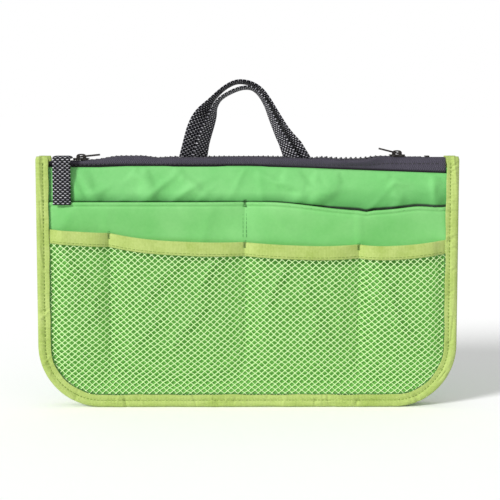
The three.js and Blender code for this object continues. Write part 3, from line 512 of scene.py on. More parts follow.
# %% Cut size of a wall
def flat_area(top, inset):
    """Area of the outline up to a height, in square metres: widths summed over thin slices."""
    z = np.linspace(inset, top, 2000)
    widths = 2 * half_width_at(z, inset)
    return float(np.sum((widths[1:] + widths[:-1]) / 2 * np.diff(z))) * MM * MM


def declare_wall(top):
    """Works out the area of a cloth panel cut to the outline, and does nothing with it."""
    size = (2 * (HALF_WIDTH - INSET) * MM, (top - INSET) * MM)
    min(flat_area(top, INSET), size[0] * size[1])


print("area of a wall:", round(flat_area(SHELL_TOP, INSET) * 1e4), "cm2")

# %% Heights of the hems and of the panels' tops
DIVIDER, SAG, SAG_X = -2.0, 6.0, 84.0
HEM = {FRONT: 148.0, BACK: 128.0}
PANEL_TOP_X = np.array([-150.0, -105, -85, 0, 20, 57, 95, 141, 150])
PANEL_TOP_Z = np.array([172.6, 172.4, 173.2, 173.3, 172.9, 171.3, 169.8, 168.1, 168.0])


def hem_height(x, side):
    """Height of the slip pocket's hem. The front one sags in its right bay, with a small crease at the lowest
    point, and ends lower at the right seam."""
    if side == BACK:
        return HEM[BACK] + 0 * x
    reach = (SEAM_EDGE - DIVIDER) / 2
    sag = SAG * soft_step(1 - np.abs(x - SAG_X) / reach) + 3.0 * soft_step((x - 116) / 24)
    crease = 0.9 * np.exp(-(((x - SAG_X) / 3.5) ** 2))
    return np.where(x > DIVIDER, HEM[FRONT] - sag - crease, HEM[FRONT])


def panel_top(x, side):
    """Height of a panel's upper edge. The front one slopes down towards the right."""
    return np.interp(x, PANEL_TOP_X, PANEL_TOP_Z) if side == FRONT else SHELL_TOP + 0 * x


print("front hem's lowest point:", round(float(hem_height(np.linspace(-140, 140, 281), FRONT).min()), 1), "mm")


# %% [markdown]
# ## Settling the cloth
# Between the pocket's hem and the zipper the real nylon is cut a little too long, so it swells and buckles. The
# whole bag could be simulated, but sewn layers that lie a few tenths of a millimetre apart would be pushed
# through each other. So only this strip is, with its sewn edges held, and its move is kept within limits.

# %% The simulation
def smooth_grid(values, times):
    """Means over the four neighbours and the point itself, repeated, on a grid whose border stays."""
    for _ in range(times):
        middle = values[1:-1, 1:-1] + values[:-2, 1:-1] + values[2:, 1:-1] + values[1:-1, :-2] + values[1:-1, 2:]
        values = values.copy()
        values[1:-1, 1:-1] = middle / 5
    return values


FRAMES, PRESSURE, SPARE_CLOTH = 16, 2.5, 0.06


def settle(obj, shape, side, sewn, inwards, outwards):
    """Cloth simulation: the loose part swells under pressure, and its spare cloth buckles into soft folds.
    The sewn points stay. A point's move out of the plane goes through a tanh, which keeps it under the
    limits inwards and outwards (millimetres), and only that part of the move is kept in the mesh."""
    scene = bpy.context.scene
    group = obj.vertex_groups.new(name="sewn")
    group.add([int(i) for i in np.flatnonzero(sewn)], 1.0, "REPLACE")
    before = np.empty(3 * len(obj.data.vertices))
    obj.data.vertices.foreach_get("co", before)
    cloth = modifier(obj, "CLOTH")
    cloth.point_cache.frame_start, cloth.point_cache.frame_end = 1, FRAMES
    for key, value in {
        "quality": 5, "mass": 0.12, "tension_stiffness": 12.0, "compression_stiffness": 12.0,
        "shear_stiffness": 4.0, "bending_stiffness": 0.6, "vertex_group_mass": "sewn", "use_pressure": True,
        "uniform_pressure_force": PRESSURE, "shrink_min": -SPARE_CLOTH, "air_damping": 4.0,
    }.items():
        setattr(cloth.settings, key, value)
    cloth.settings.effector_weights.gravity = 0
    for frame_number in range(1, FRAMES + 1):
        scene.frame_set(frame_number)
    settled = obj.evaluated_get(bpy.context.evaluated_depsgraph_get())
    after = np.empty(before.size)
    settled.data.vertices.foreach_get("co", after)
    obj.modifiers.remove(cloth)
    scene.frame_set(1)
    rise = smooth_grid(side * (after - before).reshape(*shape, 3)[..., 1] / MM, 2)
    limit = np.maximum(np.where(rise > 0, outwards, inwards), 1e-6)
    rise = limit * np.tanh(rise / limit)
    points = before.reshape(*shape, 3)
    points[..., 1] += side * rise * MM
    obj.data.vertices.foreach_set("co", points.ravel())
    obj.data.update()
    print(f"{obj.name}: cloth moved by {rise.min():.2f} to {rise.max():.2f} mm")


print("frames of cloth:", FRAMES)


# %% Outer panels
def swell(x, z, top, side):
    """The loose strip between the pocket's hem and the zipper: sin(pi t^0.62), where t grows from just below
    the hem to the zipper, so that the swelling is fullest in the lower third and hangs over the pocket's mouth."""
    start = hem_height(x, side) - 3.0
    share = np.clip((z - start) / (top - 0.8 - start), 0, 1)
    return np.sin(np.pi * share**0.62) ** 0.8


# Each row of a table of folds is x, z, turn, length, width and height.
PANEL_FOLDS = np.concatenate([
    np.array([
        [-92, 161, 22, 46, 3.2, 0.9], [-62, 158, 38, 34, 3.4, 0.8], [-36, 160, 30, 40, 3.2, 0.9],
        [-118, 160, -60, 22, 3.0, -1.2], [-8, 158, 60, 26, 3.0, 0.7], [30, 161, -12, 60, 3.2, 0.7],
        [72, 158, 14, 50, 3.4, 0.8], [112, 160, -18, 50, 3.4, 0.9], [92, 150, -8, 60, 2.6, -0.5],
    ]),
    random_ridges(3, 30, (-135, 135), (148, 170), (-40, 50), (14, 40), (1.6, 3.0), (-0.35, 0.4)),
])


# The swelling and the height of the painted shade in the pocket's mouth, each with what it gains on the right,
# and the roll of the top edge.
PUFF, PUFF_GAIN, MOUTH, MOUTH_GAIN, TOP_ROLL = 2.3, 0.5, 0.75, 1.05, 0.5


def outer_panel(label, side, folds):
    """The wall's grid at its level, plus the swelling and its folds, and less a small roll at the top edge. The
    cloth map's v is the height above the hem, in widths of the painted shade line of the pocket's mouth, which
    is wider on the right."""
    x, row = wall_grid(INSET, SHELL_TOP, 220)
    top = panel_top(x, side)
    z = row + (top - SHELL_TOP) * soft_step((row - 110) / 60)
    loose = swell(x, z, top, side) * clear_of_tape(x, z, 10)
    roll = TOP_ROLL * soft_step((z - top + 1.2) / 1.2)
    puff = (PUFF + PUFF_GAIN * soft_step((x - 20) / 40) + ridges(x, z, folds)) * loose
    # Height of the painted shade line in the pocket's mouth, which the cloth map's v counts in.
    mouth = MOUTH + MOUTH_GAIN * soft_step((x - 35) / 40)
    uv = cloth_map(x, (z - hem_height(x, side)) / mouth)
    points = place(x, SHELL + puff - roll, z, side)
    made = mesh_piece(f"{label}_panel_cloth", points, grid_quads(*x.shape), uv, flip=side == BACK)
    settle(made, x.shape, side, (loose < 0.02).ravel(), 0.55 * puff, 2.0 * loose)
    thicken(made, PANEL_CLOTH)
    finish_piece(made, "bag", "nylon", mouth_shaded_nylon, f"{label}_shell_panel")
    declare_wall(SHELL_TOP)


outer_panel("front", FRONT, PANEL_FOLDS)
outer_panel(
    "back", BACK, random_ridges(9, 40, (-135, 135), (130, 170), (-50, 50), (20, 60), (2, 4.5), (-0.4, 0.5)),
)


# %% [markdown]
# ## Foam and lining
# Behind the panel lies a sheet of needled wadding, and behind that a thin smooth lining, which is all that shows
# inside. A Solidify modifier could thicken one sheet into wadding, but its edge would stay square. A pillow
# whose two faces meet near the seam has the thin sewn edge of the real one.

# %% Foam and lining
LINING_DIP, DIP_START, DIP_TOP = 1.35, TAPE_WIDTH + 0.15, SHELL_TOP - 6.15
PAD_START, PAD_TOP, PAD_OUTER = TAPE_WIDTH + 1.2, 164.0, 7.5


def lining_level(x, z):
    """The lining lies near the seam at the edges and dips to the compartment's wall further in."""
    edge = np.minimum(edge_distance(x, z) - DIP_START, DIP_TOP - z)
    return LINING + LINING_DIP * (1 - soft_step(edge / 10))


def lining(label, side):
    """The wall's grid at the lining's level, with shallow seeded folds away from the seams."""
    x, z = wall_grid(INSET, SHELL_TOP, 160, 24, 20, 150.0)
    table = random_ridges(21 + side, 40, (-130, 130), (20, 165), (-70, 70), (20, 70), (3, 7), (0, 0.32))
    points = place(x, lining_level(x, z) + clear_of_tape(x, z, 12) * ridges(x, z, table), z, side)
    made = mesh_piece(f"{label}_lining_cloth", points, grid_quads(*x.shape), cloth_map(x, z), flip=side == FRONT)
    thicken(made, LINING_CLOTH)
    finish_piece(made, "bag", "lining_cloth", lining_cloth, f"{label}_lining")
    declare_wall(SHELL_TOP)


def wadding(label, side):
    """A thin pillow: its inner face follows the lining, its outer face is flat, and a ring of quads joins them
    at the edge, where both come near each other."""
    x, z = wall_grid(PAD_START, PAD_TOP, 90, 16, 8, 150.0)
    thin = 1 - soft_step(np.minimum(edge_distance(x, z) - PAD_START, PAD_TOP - z) / 9)
    near = place(x, lining_level(x, z) + 0.55 + 0.4 * thin, z, side)
    far = place(x, PAD_OUTER - 0.5 * thin, z, side)
    rows, columns = x.shape
    count = rows * columns
    ring = np.concatenate([
        np.arange(columns), columns * np.arange(1, rows) + columns - 1,
        count - 2 - np.arange(columns - 1), columns * (rows - 2 - np.arange(rows - 2)),
    ])
    beside = np.roll(ring, -1)
    quads = np.concatenate([
        grid_quads(rows, columns)[:, ::-1], grid_quads(rows, columns) + count,
        np.stack([ring, beside, beside + count, ring + count], axis=-1),
    ])
    points = np.concatenate([near.reshape(-1, 3), far.reshape(-1, 3)])
    made = mesh_piece(f"{label}_wadding", points, quads, flip=side == FRONT)
    finish_piece(made, "bag", "foam", foam, f"{label}_padding")


for label, side in SIDES.items():
    lining(label, side)
    wadding(label, side)

# %% [markdown]
# ## Slip pockets
# A slip pocket is one flat layer sewn in at the sides, the bottom and one middle seam. Its hem gapes between
# the seams, so its distance from the wall grows towards the hem and fades to nothing at each seam. The level of
# the net comes first, because the front pocket's folds have to stay under it. The gape could be pulled by hand
# with proportional editing, but here the seams stay exactly where they are sewn.


# %% Levels of the pockets and the net
SLIP_GAPE = 4.7
MIDDLE_SEAM = {FRONT: DIVIDER, BACK: 0.0}
GAPE_HEIGHT = {FRONT: 24.0, BACK: 26.0}


def bay_gape(x, start, end):
    """1 - t^4 over a bay, where t runs from -1 to 1 between its seams, and 0 outside it."""
    t = 2 * (x - start) / (end - start) - 1
    return np.where(np.abs(t) < 1, 1 - t**4, 0.0)


def slip_level(x, z, side):
    """Level of the pocket's inner face: it leaves the wall between the seams, from a height below the hem."""
    seam = MIDDLE_SEAM[side]
    across = bay_gape(x, -SEAM_EDGE, seam) + bay_gape(x, seam, SEAM_EDGE)
    return SLIP + SLIP_GAPE * across * soft_step(1 - (hem_height(x, side) - z) / GAPE_HEIGHT[side])


SEAMS = np.array([-SEAM_EDGE, -98.5, DIVIDER, 79.0, SEAM_EDGE])
BAND_AT = np.array([-150.0, -141, -120, -98.5, -80, -62, -30, -2, 25, 51.5, 68, 79, 90.5, 110, 125, 138, 150])
BAND_TOP = np.array([129.0, 128.6, 127.4, 126.1, 123, 121, 119.6, 119.5, 117.8, 116.9, 117.3, 117.8, 116.8, 117.4,
                     118.9, 120.7, 121.6])
BAND_WIDTH, BAND_PLY, BAND_END = 10.0, 0.5, SEAM_EDGE + 4
NET_GAPE, NET_RISE, NET_THICKNESS = 5.4, 46.0, 0.8
UNDER_SHARE, NET_CLEAR = 0.85, 0.5


def bays(x):
    """1 - t^4 over each of the four bays."""
    return sum(bay_gape(x, SEAMS[i], SEAMS[i + 1]) for i in range(4))


def band_top(x):
    """A smooth line through measured heights: at each x the mean of the straight line over 9 mm to both sides."""
    spread = np.linspace(-9, 9, 13)
    near = np.abs(np.asarray(x)[..., None] - SEAMS[1:4]).min(axis=-1)
    reach = np.clip(near / 9, 0.12, 1)
    return np.interp(np.asarray(x)[..., None] + spread * reach[..., None], BAND_AT, BAND_TOP).mean(axis=-1)


def net_level(x, z):
    """Distance of the net's inner face: the pocket's gape, which rises from the bottom seam to the band."""
    below_band = band_top(x) - BAND_WIDTH - z
    lift = (BAND_PLY + 0.15) * clear_of_tape(x, z, 2) * soft_step(1 - below_band / 12)
    rise = soft_step((z - TAPE_WIDTH) / NET_RISE) * clear_of_tape(x, z, 10)
    return NET + lift + NET_GAPE * bays(x) * rise


def crowded(start, end, count):
    """Places from start up to end, crowded near both by a cosine: start + (end - start)(1 - cos t) / 2."""
    return start + (end - start) * (1 - np.cos(np.pi * np.arange(count) / count)) / 2


net_gape = float(net_level(np.array(-50.0), np.array(100.0))) - SHELL
print("the net stands off the wall by up to", round(net_gape, 1), "mm")


# %% Slip pockets
def slip_pocket(label, side):
    """A grid at the pocket's level, with long folds, a puckered hem fold, the groove of its stitches and a
    rolled edge. Under the net the folds may take up to UNDER_SHARE of the room."""
    hem, edge = HEM[side], SEAM_EDGE / (HALF_WIDTH - INSET)
    seam = MIDDLE_SEAM[side] / (HALF_WIDTH - INSET)
    shares = np.concatenate([[-1.0], crowded(-edge, seam, 90), crowded(seam, edge, 90), [edge, 1.0]])
    rows = wall_rows(INSET, hem, 14, 44, hem - GAPE_HEIGHT[side] - 4)[:, None]
    x = shares[None, :] * half_width_at(rows, INSET)
    z = rows - (hem - hem_height(x, side)) * soft_step((rows - CORNER) / 30)
    below, level = hem_height(x, side) - z, slip_level(x, z, side)
    folds = ridges(x, z, SLIP_FOLDS) * clear_of_tape(x, z, 14) * soft_step(below / 5)
    if side == FRONT:
        room = np.maximum(net_level(x, z) - level - POCKET_CLOTH - NET_CLEAR, 0)
        share = np.clip(1.5 * ridges(x, z, UNDER_NET), 0, UNDER_SHARE)
        folds = folds + room * share * (z < band_top(x) - BAND_WIDTH)
    pucker = 0.5 + 0.5 * np.sin(x / 1.35 + 2.2 * np.sin(x / 7.3)) * np.sin(x / 11.0 + 1)
    hem_fold = (0.35 + 0.25 * pucker) * soft_step((below - 0.1) / 0.5) * soft_step((2.9 - below) / 0.9)
    groove = 0.4 * np.exp(-(((below - 3.1) / 0.7) ** 2))
    roll = 0.35 * soft_step(1 - below / 0.6)
    points = place(x, level + POCKET_CLOTH + folds + hem_fold - groove - roll, z, side)
    made = mesh_piece(f"{label}_slip_cloth", points, grid_quads(*x.shape), cloth_map(x, z), flip=side == BACK)
    thicken(made, POCKET_CLOTH)
    cloth = net_shaded_nylon if side == FRONT else nylon
    finish_piece(made, "bag", "nylon", cloth, f"{label}_slip_pocket")
    declare_wall(hem)


UNDER_NET = np.concatenate([
    np.array([
        [103, 77, -69, 70, 2.6, 0.7], [93, 98, -58, 34, 2.2, 0.6], [-117, 80, 22, 40, 2.2, 0.6],
        [-110, 66, 28, 34, 2.0, 0.5], [-62, 91, 45, 44, 2.4, 0.6], [-42, 60, 52, 50, 2.4, 0.6],
        [-28, 98, 62, 40, 2.2, 0.5], [22, 92, 64, 46, 2.4, 0.6], [48, 70, 116, 52, 2.4, 0.6],
        [112, 54, -40, 34, 2.2, 0.6],
    ]),
    random_ridges(31, 26, (-130, 130), (24, 112), (20, 130), (20, 50), (1.6, 3.0), (0.1, 0.45)),
])
SLIP_FOLDS = np.concatenate([
    np.array([[79, 132, 92, 46, 1.6, 0.8], [-100, 135, 80, 40, 3.0, 0.35], [28, 128, 130, 40, 3.0, 0.5]]),
    random_ridges(5, 34, (-130, 130), (60, 143), (50, 120), (26, 70), (2.5, 5.0), (-0.15, 0.35)),
])
for label, side in SIDES.items():
    slip_pocket(label, side)

# %% [markdown]
# ## The mesh pocket
# The net is knotless: two sets of strands run at a slant and join where they cross, in diamonds 4.8 mm wide
# and 4.1 mm high. Real strands are made here as thin tubes over the pocket's bulging surface, because a flat
# sheet with a net drawn on it has no depth at the edges. The lime band is a tape folded over the net's top.

# %% Tubes
RING_TURN = 2 * np.pi * np.arange(6) / 6


def tube(path, radius):
    """Points and quads of one closed tube along a path: rings of six square to the path, capped with quads."""
    way = np.gradient(path, axis=0)
    way /= np.linalg.norm(way, axis=1, keepdims=True)
    side_way = np.cross(way, [0.0, 1.0, 0.0])
    side_way /= np.maximum(np.linalg.norm(side_way, axis=1, keepdims=True), 1e-9)
    up_way = np.cross(side_way, way)
    cosine, sine = np.cos(RING_TURN)[None, :, None], np.sin(RING_TURN)[None, :, None]
    radius = np.broadcast_to(radius, len(path))[:, None, None]
    points = path[:, None] + radius * (side_way[:, None] * cosine + up_way[:, None] * sine)
    last = (len(path) - 1) * len(RING_TURN)
    caps = [[0, 1, 2, 3], [0, 3, 4, 5], [last + 3, last + 2, last + 1, last], [last + 5, last + 4, last + 3, last]]
    return points.reshape(-1, 3), np.concatenate([grid_quads(len(path), len(RING_TURN), wrap=True)[:, ::-1], caps])


def tube_piece(name, paths, radii):
    """Many tubes in one mesh."""
    points, quads, count = [], [], 0
    for path, radius in zip(paths, radii):
        p, q = tube(path, radius)
        points.append(p)
        quads.append(q + count)
        count += len(p)
    return mesh_piece(name, np.concatenate(points), np.concatenate(quads))


print("points round a strand:", len(RING_TURN))

# %% Net
NODE_X, NODE_Z, STRAND = 2.4, 2.05, 0.28


def net_runs():
    """Crossing points along each slanting line, at x = i NODE_X and z = j NODE_Z with small random shifts and a
    slow sway, kept where the net shows or is caught in a seam."""
    draw = np.random.default_rng(11)
    reach_i, reach_j = int(HALF_WIDTH / NODE_X) + 2, int(135 / NODE_Z) + 2
    shift = draw.normal(0, 0.16, size=(2 * reach_i + 1, reach_j + 1, 2))
    first_start = -reach_i - reach_j + reach_j % 2
    for slope in (1, -1):
        for start in range(first_start, reach_i + reach_j + 1, 2):
            j = np.arange(reach_j)
            i = start + slope * j
            i, j = i[np.abs(i) <= reach_i], j[np.abs(i) <= reach_i]
            x, z = np.array([i * NODE_X, j * NODE_Z]) + shift[i + reach_i, j].T
            x = x + 0.7 * np.sin(z / 17 + x / 41)
            z = z + 0.8 * np.sin(x / 23) * soft_step(z / 40)
            shown = (edge_distance(x, z) > 5.5) & (z < band_top(x) - 4)
            breaks = np.flatnonzero(np.diff(np.concatenate([[0], shown.astype(int), [0]])))
            for first, last in zip(breaks[::2], breaks[1::2]):
                if last - first >= 3:
                    yield np.stack([x[first:last], z[first:last]], axis=1)


net_lines, net_radii = [], []
for knots in net_runs():
    line = np.empty((2 * len(knots) - 1, 2))
    line[::2], line[1::2] = knots, (knots[1:] + knots[:-1]) / 2
    x, z = line.T
    net_lines.append(place(x, net_level(x, z) + NET_THICKNESS / 2, z, FRONT))
    net_radii.append(np.where(np.arange(len(line)) % 2 == 0, STRAND * 1.4, STRAND))
net = tube_piece("mesh_net", net_lines, net_radii)
finish_piece(net, "bag", "net_thread", net_thread, "front_mesh_pocket")
print("net strands:", len(net_lines))

# %% [markdown]
# ## Folded tapes
# The net's band and the two bindings are one tape folded over an edge. A curve with a bevel shape could carry
# that fold, but it allows no change on the way. On a grid each row can be squeezed, crumpled or grooved by itself.


# %% Folded tape
def folded_profile(width, inner, outer, ply, flat_steps=8):
    """A tape folded over an edge, as (distance from the fold, level) points: down the inner ply, round a half
    circle and up the outer ply, then the same way back inside the tape. Pairs of points face each other."""
    turn = np.linspace(0, np.pi, 7)[1:-1]
    middle, half = (inner + outer) / 2, (outer - inner) / 2
    flat = np.linspace(width, half, flat_steps)

    def skin(radius):
        """One face of the tape, at a radius round the fold's middle."""
        return np.concatenate([
            np.stack([flat, np.full(flat_steps, middle - radius)], axis=1),
            np.stack([half - radius * np.sin(turn), middle - radius * np.cos(turn)], axis=1),
            np.stack([flat[::-1], np.full(flat_steps, middle + radius)], axis=1),
        ])

    return np.concatenate([skin(half), skin(half - ply)[::-1]])


def channel_quads(rows, size):
    """Quads of a thin closed profile, whose second half runs back beside its first half, with its end caps."""
    i = np.arange(size // 2 - 1)
    cap = np.stack([i, i + 1, size - 2 - i, size - 1 - i], axis=-1)
    return np.concatenate([grid_quads(rows, size, wrap=True), cap[:, ::-1], cap + (rows - 1) * size])


def declare_tape(length, profile):
    """Works out a folded tape's cut width, half the way round its thin closed section, and does nothing with it."""
    width = length_along(profile)[-1] / 2


print("round a folded 10 mm tape:", round(float(length_along(folded_profile(10, 0, 2, 0.5))[-1]), 1), "mm")


# %% Band
def band_ripple(x):
    """Two slow sine waves along the band."""
    return 0.12 * np.sin(x / 3.1) + 0.1 * np.sin(x / 7.7 + 1)


BAND_SLACK = 0.65
band_x = np.concatenate([crowded(start, end, 48) for start, end in zip(SEAMS[:-1], SEAMS[1:])])
band_ends = np.array([SEAM_EDGE + 1.5, BAND_END])
band_x = np.unique(np.concatenate([band_x, [SEAM_EDGE], band_ends, -band_ends]))
band_profile = folded_profile(BAND_WIDTH, -BAND_SLACK, NET_THICKNESS + BAND_SLACK, BAND_PLY)
top = band_top(band_x)
level = net_level(band_x, top - BAND_WIDTH / 2)
squeeze = 0.33 + 0.67 * soft_step((SEAM_EDGE - np.abs(band_x)) / 4)
through = NET_THICKNESS / 2 + (band_profile[None, :, 1] - NET_THICKNESS / 2) * squeeze[:, None]
waved = (band_ripple(band_x) * squeeze)[:, None] * (band_profile[None, :, 0] > 1)
band_points = place(band_x[:, None], level[:, None] + through + waved, top[:, None] - band_profile[None, :, 0], FRONT)
band_uv = cloth_map(band_x[:, None], length_along(band_profile)[None, :])
band = mesh_piece("mesh_pocket_band_tape", band_points, channel_quads(*band_uv.shape[:2]), band_uv)
finish_piece(band, "bag", "lime_tape", lime_tape, "mesh_pocket_band")
declare_tape(2 * BAND_END, band_profile)

# %% [markdown]
# ## Edge bindings
# The binding is a 20 mm grosgrain tape folded round the raw edges and sewn through all the layers. Its
# section is a narrow channel, carried down one side, round both corners and up the other. Its thread pulls a
# dimple at each stitch and the tape crumples between them. A bump texture could draw that, but the outline of
# the tape would stay smooth, and there it is seen best.


# %% Path of the outline
def outline_path(top, straight_steps, corner_steps, bottom_steps):
    """Stations along the U: x, z, the inward direction (x, z) and the length so far, in millimetres."""
    centre = HALF_WIDTH - CORNER
    down = np.linspace(top, CORNER, straight_steps)[:-1]
    turn = np.linspace(0, np.pi / 2, corner_steps)
    along = np.linspace(-centre, centre, bottom_steps)[1:-1]
    left = np.stack([np.full(len(down), -HALF_WIDTH), down, np.ones(len(down)), 0 * down], axis=1)
    corner = np.stack([
        -centre - CORNER * np.cos(turn), CORNER - CORNER * np.sin(turn), np.cos(turn), np.sin(turn),
    ], axis=1)
    bottom = np.stack([along, 0 * along, 0 * along, np.ones(len(along))], axis=1)
    mirror = np.array([-1, 1, -1, 1])
    stations = np.concatenate([left, corner, bottom, (corner * mirror)[::-1], (left * mirror)[::-1]])
    return stations, length_along(stations[:, :2])


def along_outline(stations, distance, level, side):
    """Points at a distance inwards from each station, at a level."""
    x = stations[:, None, 0] + distance * stations[:, None, 2]
    z = stations[:, None, 1] + distance * stations[:, None, 3]
    return place(x, level, z, side)


print("length of the U up to 180 mm:", round(outline_path(180.0, 220, 90, 340)[1][-1]), "mm")

# %% Bindings
STITCH_PITCH, BINDING_TOP, STACK, PLY = 2.6, 180.0, 4.95, 0.6
GROOVE, FULLER = 0.75, 0.3
BINDING_LEVEL = {FRONT: 10.45, BACK: 9.5}
CRUMPLES = np.concatenate([
    random_ridges(41, 150, (0, 660), (1, 8), (40, 140), (4, 10), (0.7, 1.1), (-0.75, 0.6)),
    random_ridges(43, 60, (0, 660), (0.5, 3.5), (-9, 9), (20, 60), (0.5, 0.7), (-0.6, 0.6)),
])


def stitch_distance(x):
    """How far in from the outline the stitch line runs: nearer the tape's inner edge on the right side."""
    return 5.3 + 1.1 * soft_step((x - 120) / 20)


def binding(label, side):
    """The folded tape's section at each station of the outline. Its outer ply has a groove of one dip to each
    stitch, is a little fuller outside it, and is crumpled; its free edges wander, and its ends are rounded."""
    stations, length = outline_path(BINDING_TOP, 220, 90, 340)
    along = length[:, None]
    profile = folded_profile(TAPE_WIDTH, STACK, BINDING_LEVEL[side], PLY, 18)
    distance, level = profile[None, :, 0], profile[None, :, 1]
    outside = level > (STACK + BINDING_LEVEL[side]) / 2
    line = stitch_distance(stations[:, :1])
    beat = 0.75 + 0.25 * np.cos(2 * np.pi * along / STITCH_PITCH)
    groove = GROOVE * beat * np.exp(-(((distance - line) / 1.2) ** 2))
    fuller = FULLER * soft_step((line - distance + 1.5) / 3)
    pinch = (groove - fuller - ridges(along, distance, CRUMPLES)) * outside
    wobble = 0.18 * np.sin(along / 9.0) + 0.14 * np.sin(along / 3.7 + 2)
    distance = distance + wobble * (distance > TAPE_WIDTH - 0.5)
    end = 0.86 + 0.14 * soft_step((BINDING_TOP - stations[:, 1:2]) / 2.2)
    distance = TAPE_WIDTH / 2 + (distance - TAPE_WIDTH / 2) * end
    points = along_outline(stations, distance, level - pinch, side)
    uv = cloth_map(along, length_along(profile)[None, :])
    made = mesh_piece(f"{label}_binding_tape", points, channel_quads(*uv.shape[:2]), uv, flip=side == FRONT)
    finish_piece(made, "bag", "lime_tape", lime_tape, f"{label}_edge_binding")
    declare_tape(length[-1], profile)


for label, side in SIDES.items():
    binding(label, side)

# %% [markdown]
# ## Gusset
# The gusset is a strip of nylon that joins the two bindings, and it folds inwards while the bag is closed. It
# could be a flat strip bent by a modifier, but its fold is deep at the sides and shallow under the bag. So its
# section is seven points, which change along the outline and whose corners are then cut round.


# %% Gusset
def rounded(path):
    """Cuts the corners of each row's path by quarters, twice, and keeps its ends."""
    for _ in range(2):
        a, b = path[:, :-1], path[:, 1:]
        cut = np.stack([0.75 * a + 0.25 * b, 0.25 * a + 0.75 * b], axis=2)
        cut = cut.reshape(len(path), -1, path.shape[-1])
        path = np.concatenate([path[:, :1], cut[:, 1:-1], path[:, -1:]], axis=1)
    return path


SEAM_LEVEL, TURN_LEVEL, TURN_IN = 5.95, 4.55, TAPE_WIDTH + 0.6
stations, length = outline_path(171.0, 60, 24, 80)
bottom_share = soft_step(np.arctan2(stations[:, 3], np.abs(stations[:, 2])) / (np.pi / 2))
folded_in = TURN_IN + 7 * (1 - bottom_share) - 5 * bottom_share
gusset_path = rounded(np.stack([
    np.stack(np.broadcast_arrays(distance, 0 * folded_in + level), axis=1) for distance, level in (
        (INSET, -SEAM_LEVEL), (TURN_IN, -SEAM_LEVEL), (TURN_IN, -TURN_LEVEL), (folded_in, 0),
        (TURN_IN, TURN_LEVEL), (TURN_IN, SEAM_LEVEL), (INSET, SEAM_LEVEL),
    )
], axis=1))
gusset_points = along_outline(stations, gusset_path[:, :, 0], gusset_path[:, :, 1], BACK)
across = 2.0 * np.arange(gusset_path.shape[1])
gusset_uv = cloth_map(length[:, None], across[None, :])
gusset = mesh_piece("gusset_cloth", gusset_points, grid_quads(*gusset_path.shape[:2]), gusset_uv)
thicken(gusset, GUSSET_CLOTH, 0)
finish_piece(gusset, "bag", "nylon", nylon, "gusset")
gusset_width = float(np.linalg.norm(np.diff(gusset_path, axis=1), axis=2).sum(axis=1).mean())

# %% [markdown]
# ## The zipper
# Between its two parted sliders the zipper is open, and each tape leans outwards and rolls over with its row
# of moulded teeth. Past the sliders the tapes lie flat and the teeth mesh. At every x the tape's section is
# three straight runs, so two leaning angles that change along x give the whole shape. A lattice could bend flat
# tapes open, but then the teeth wouldn't know how their tape leans.

# %% Zipper shape
TAPE_MIDDLE, TAPE_LOWER, TAPE_UPPER = 7.15, 4.6, 2.2
SLIDER_X, FEET = (-118.3, 106.5), (-36.15, 30.6)
CHAIN_EDGE, THROAT_EDGE, NOSE, FLARE = 2.65, 5.0, 5.5, 20.0
TAPE_END, TAPE_REACH = SEAM_EDGE - 3.5, SEAM_EDGE - 0.1
ROLLED, ROLLED_RIGHT, UPRIGHT = 84, 66, 76
OUTWARDS, OUTWARDS_FEET, OUTWARDS_RIGHT = 8, 26, 42
RISE, TAPE_START, TAPE_HINGE = 2.5, SHELL_TOP - 9, SHELL_TOP + 0.3
FREE_X = np.array([-119.0, -104, -90, -75, -64, -48, -20, 0, 16, 30, 44, 60, 82, 107])
FREE_WIDTH = np.array([5.2, 6.2, 7.0, 7.1, 5.8, 6.6, 6.6, 6.7, 6.6, 6.4, 5.4, 5.2, 5.6, 7.1])
WEBBING_WIDTH, WEBBING_THICKNESS = 12.7, 1.3


def lean_way(angle):
    """Steps of level and height for one millimetre up a tape that leans inwards by an angle."""
    return np.stack([-np.sin(angle), np.cos(angle)], axis=1)


def tape_lower(x):
    """Width of the tape's lower run: the solid's 4.6 mm, 7.1 mm on the right, and more where it stands open."""
    past = np.minimum(x - SLIDER_X[0], SLIDER_X[1] - x)
    solid = TAPE_LOWER + RISE * soft_step((x - 5) / 40)
    free = np.interp(x, FREE_X, FREE_WIDTH)
    return solid + (free - solid) * soft_step((past - NOSE) / FLARE)


def tape_leans(x):
    """The lower and the upper lean: closed at the sliders, and flared open within FLARE of their noses."""
    past = np.minimum(x - SLIDER_X[0], SLIDER_X[1] - x)
    throat = np.clip((past + 1) / (NOSE + 1), 0, 1)
    reach = TAPE_MIDDLE - TAPE_UPPER - (CHAIN_EDGE + (THROAT_EDGE - CHAIN_EDGE) * throat)
    closed = np.arcsin(reach / tape_lower(x))
    flare = soft_step((past - NOSE) / FLARE)
    beside = soft_step(2 - np.minimum(np.abs(x - FEET[0]), np.abs(x - FEET[1])) / WEBBING_WIDTH)
    free = ROLLED + (ROLLED_RIGHT - ROLLED) * soft_step((x - FEET[1]) / WEBBING_WIDTH)
    roll = np.radians(free + (UPRIGHT - free) * beside)
    on_right = soft_step((x - FEET[1] - WEBBING_WIDTH) / (2 * WEBBING_WIDTH))
    outwards = OUTWARDS + (OUTWARDS_FEET - OUTWARDS) * beside + (OUTWARDS_RIGHT - OUTWARDS) * on_right
    lower = closed + (np.radians(-np.minimum(outwards, OUTWARDS_RIGHT)) - closed) * flare
    return lower, np.pi / 2 + (roll - np.pi / 2) * flare


def tape_section(x):
    """Level and height of the tape's four bends at each x."""
    lower, upper = tape_leans(x)
    start, hinge = ([TAPE_MIDDLE, height] + np.zeros((len(x), 2)) for height in (TAPE_START, TAPE_HINGE))
    bend = hinge + tape_lower(x)[:, None] * lean_way(lower)
    return np.stack([start, hinge, bend, bend + TAPE_UPPER * lean_way(upper)], axis=1)


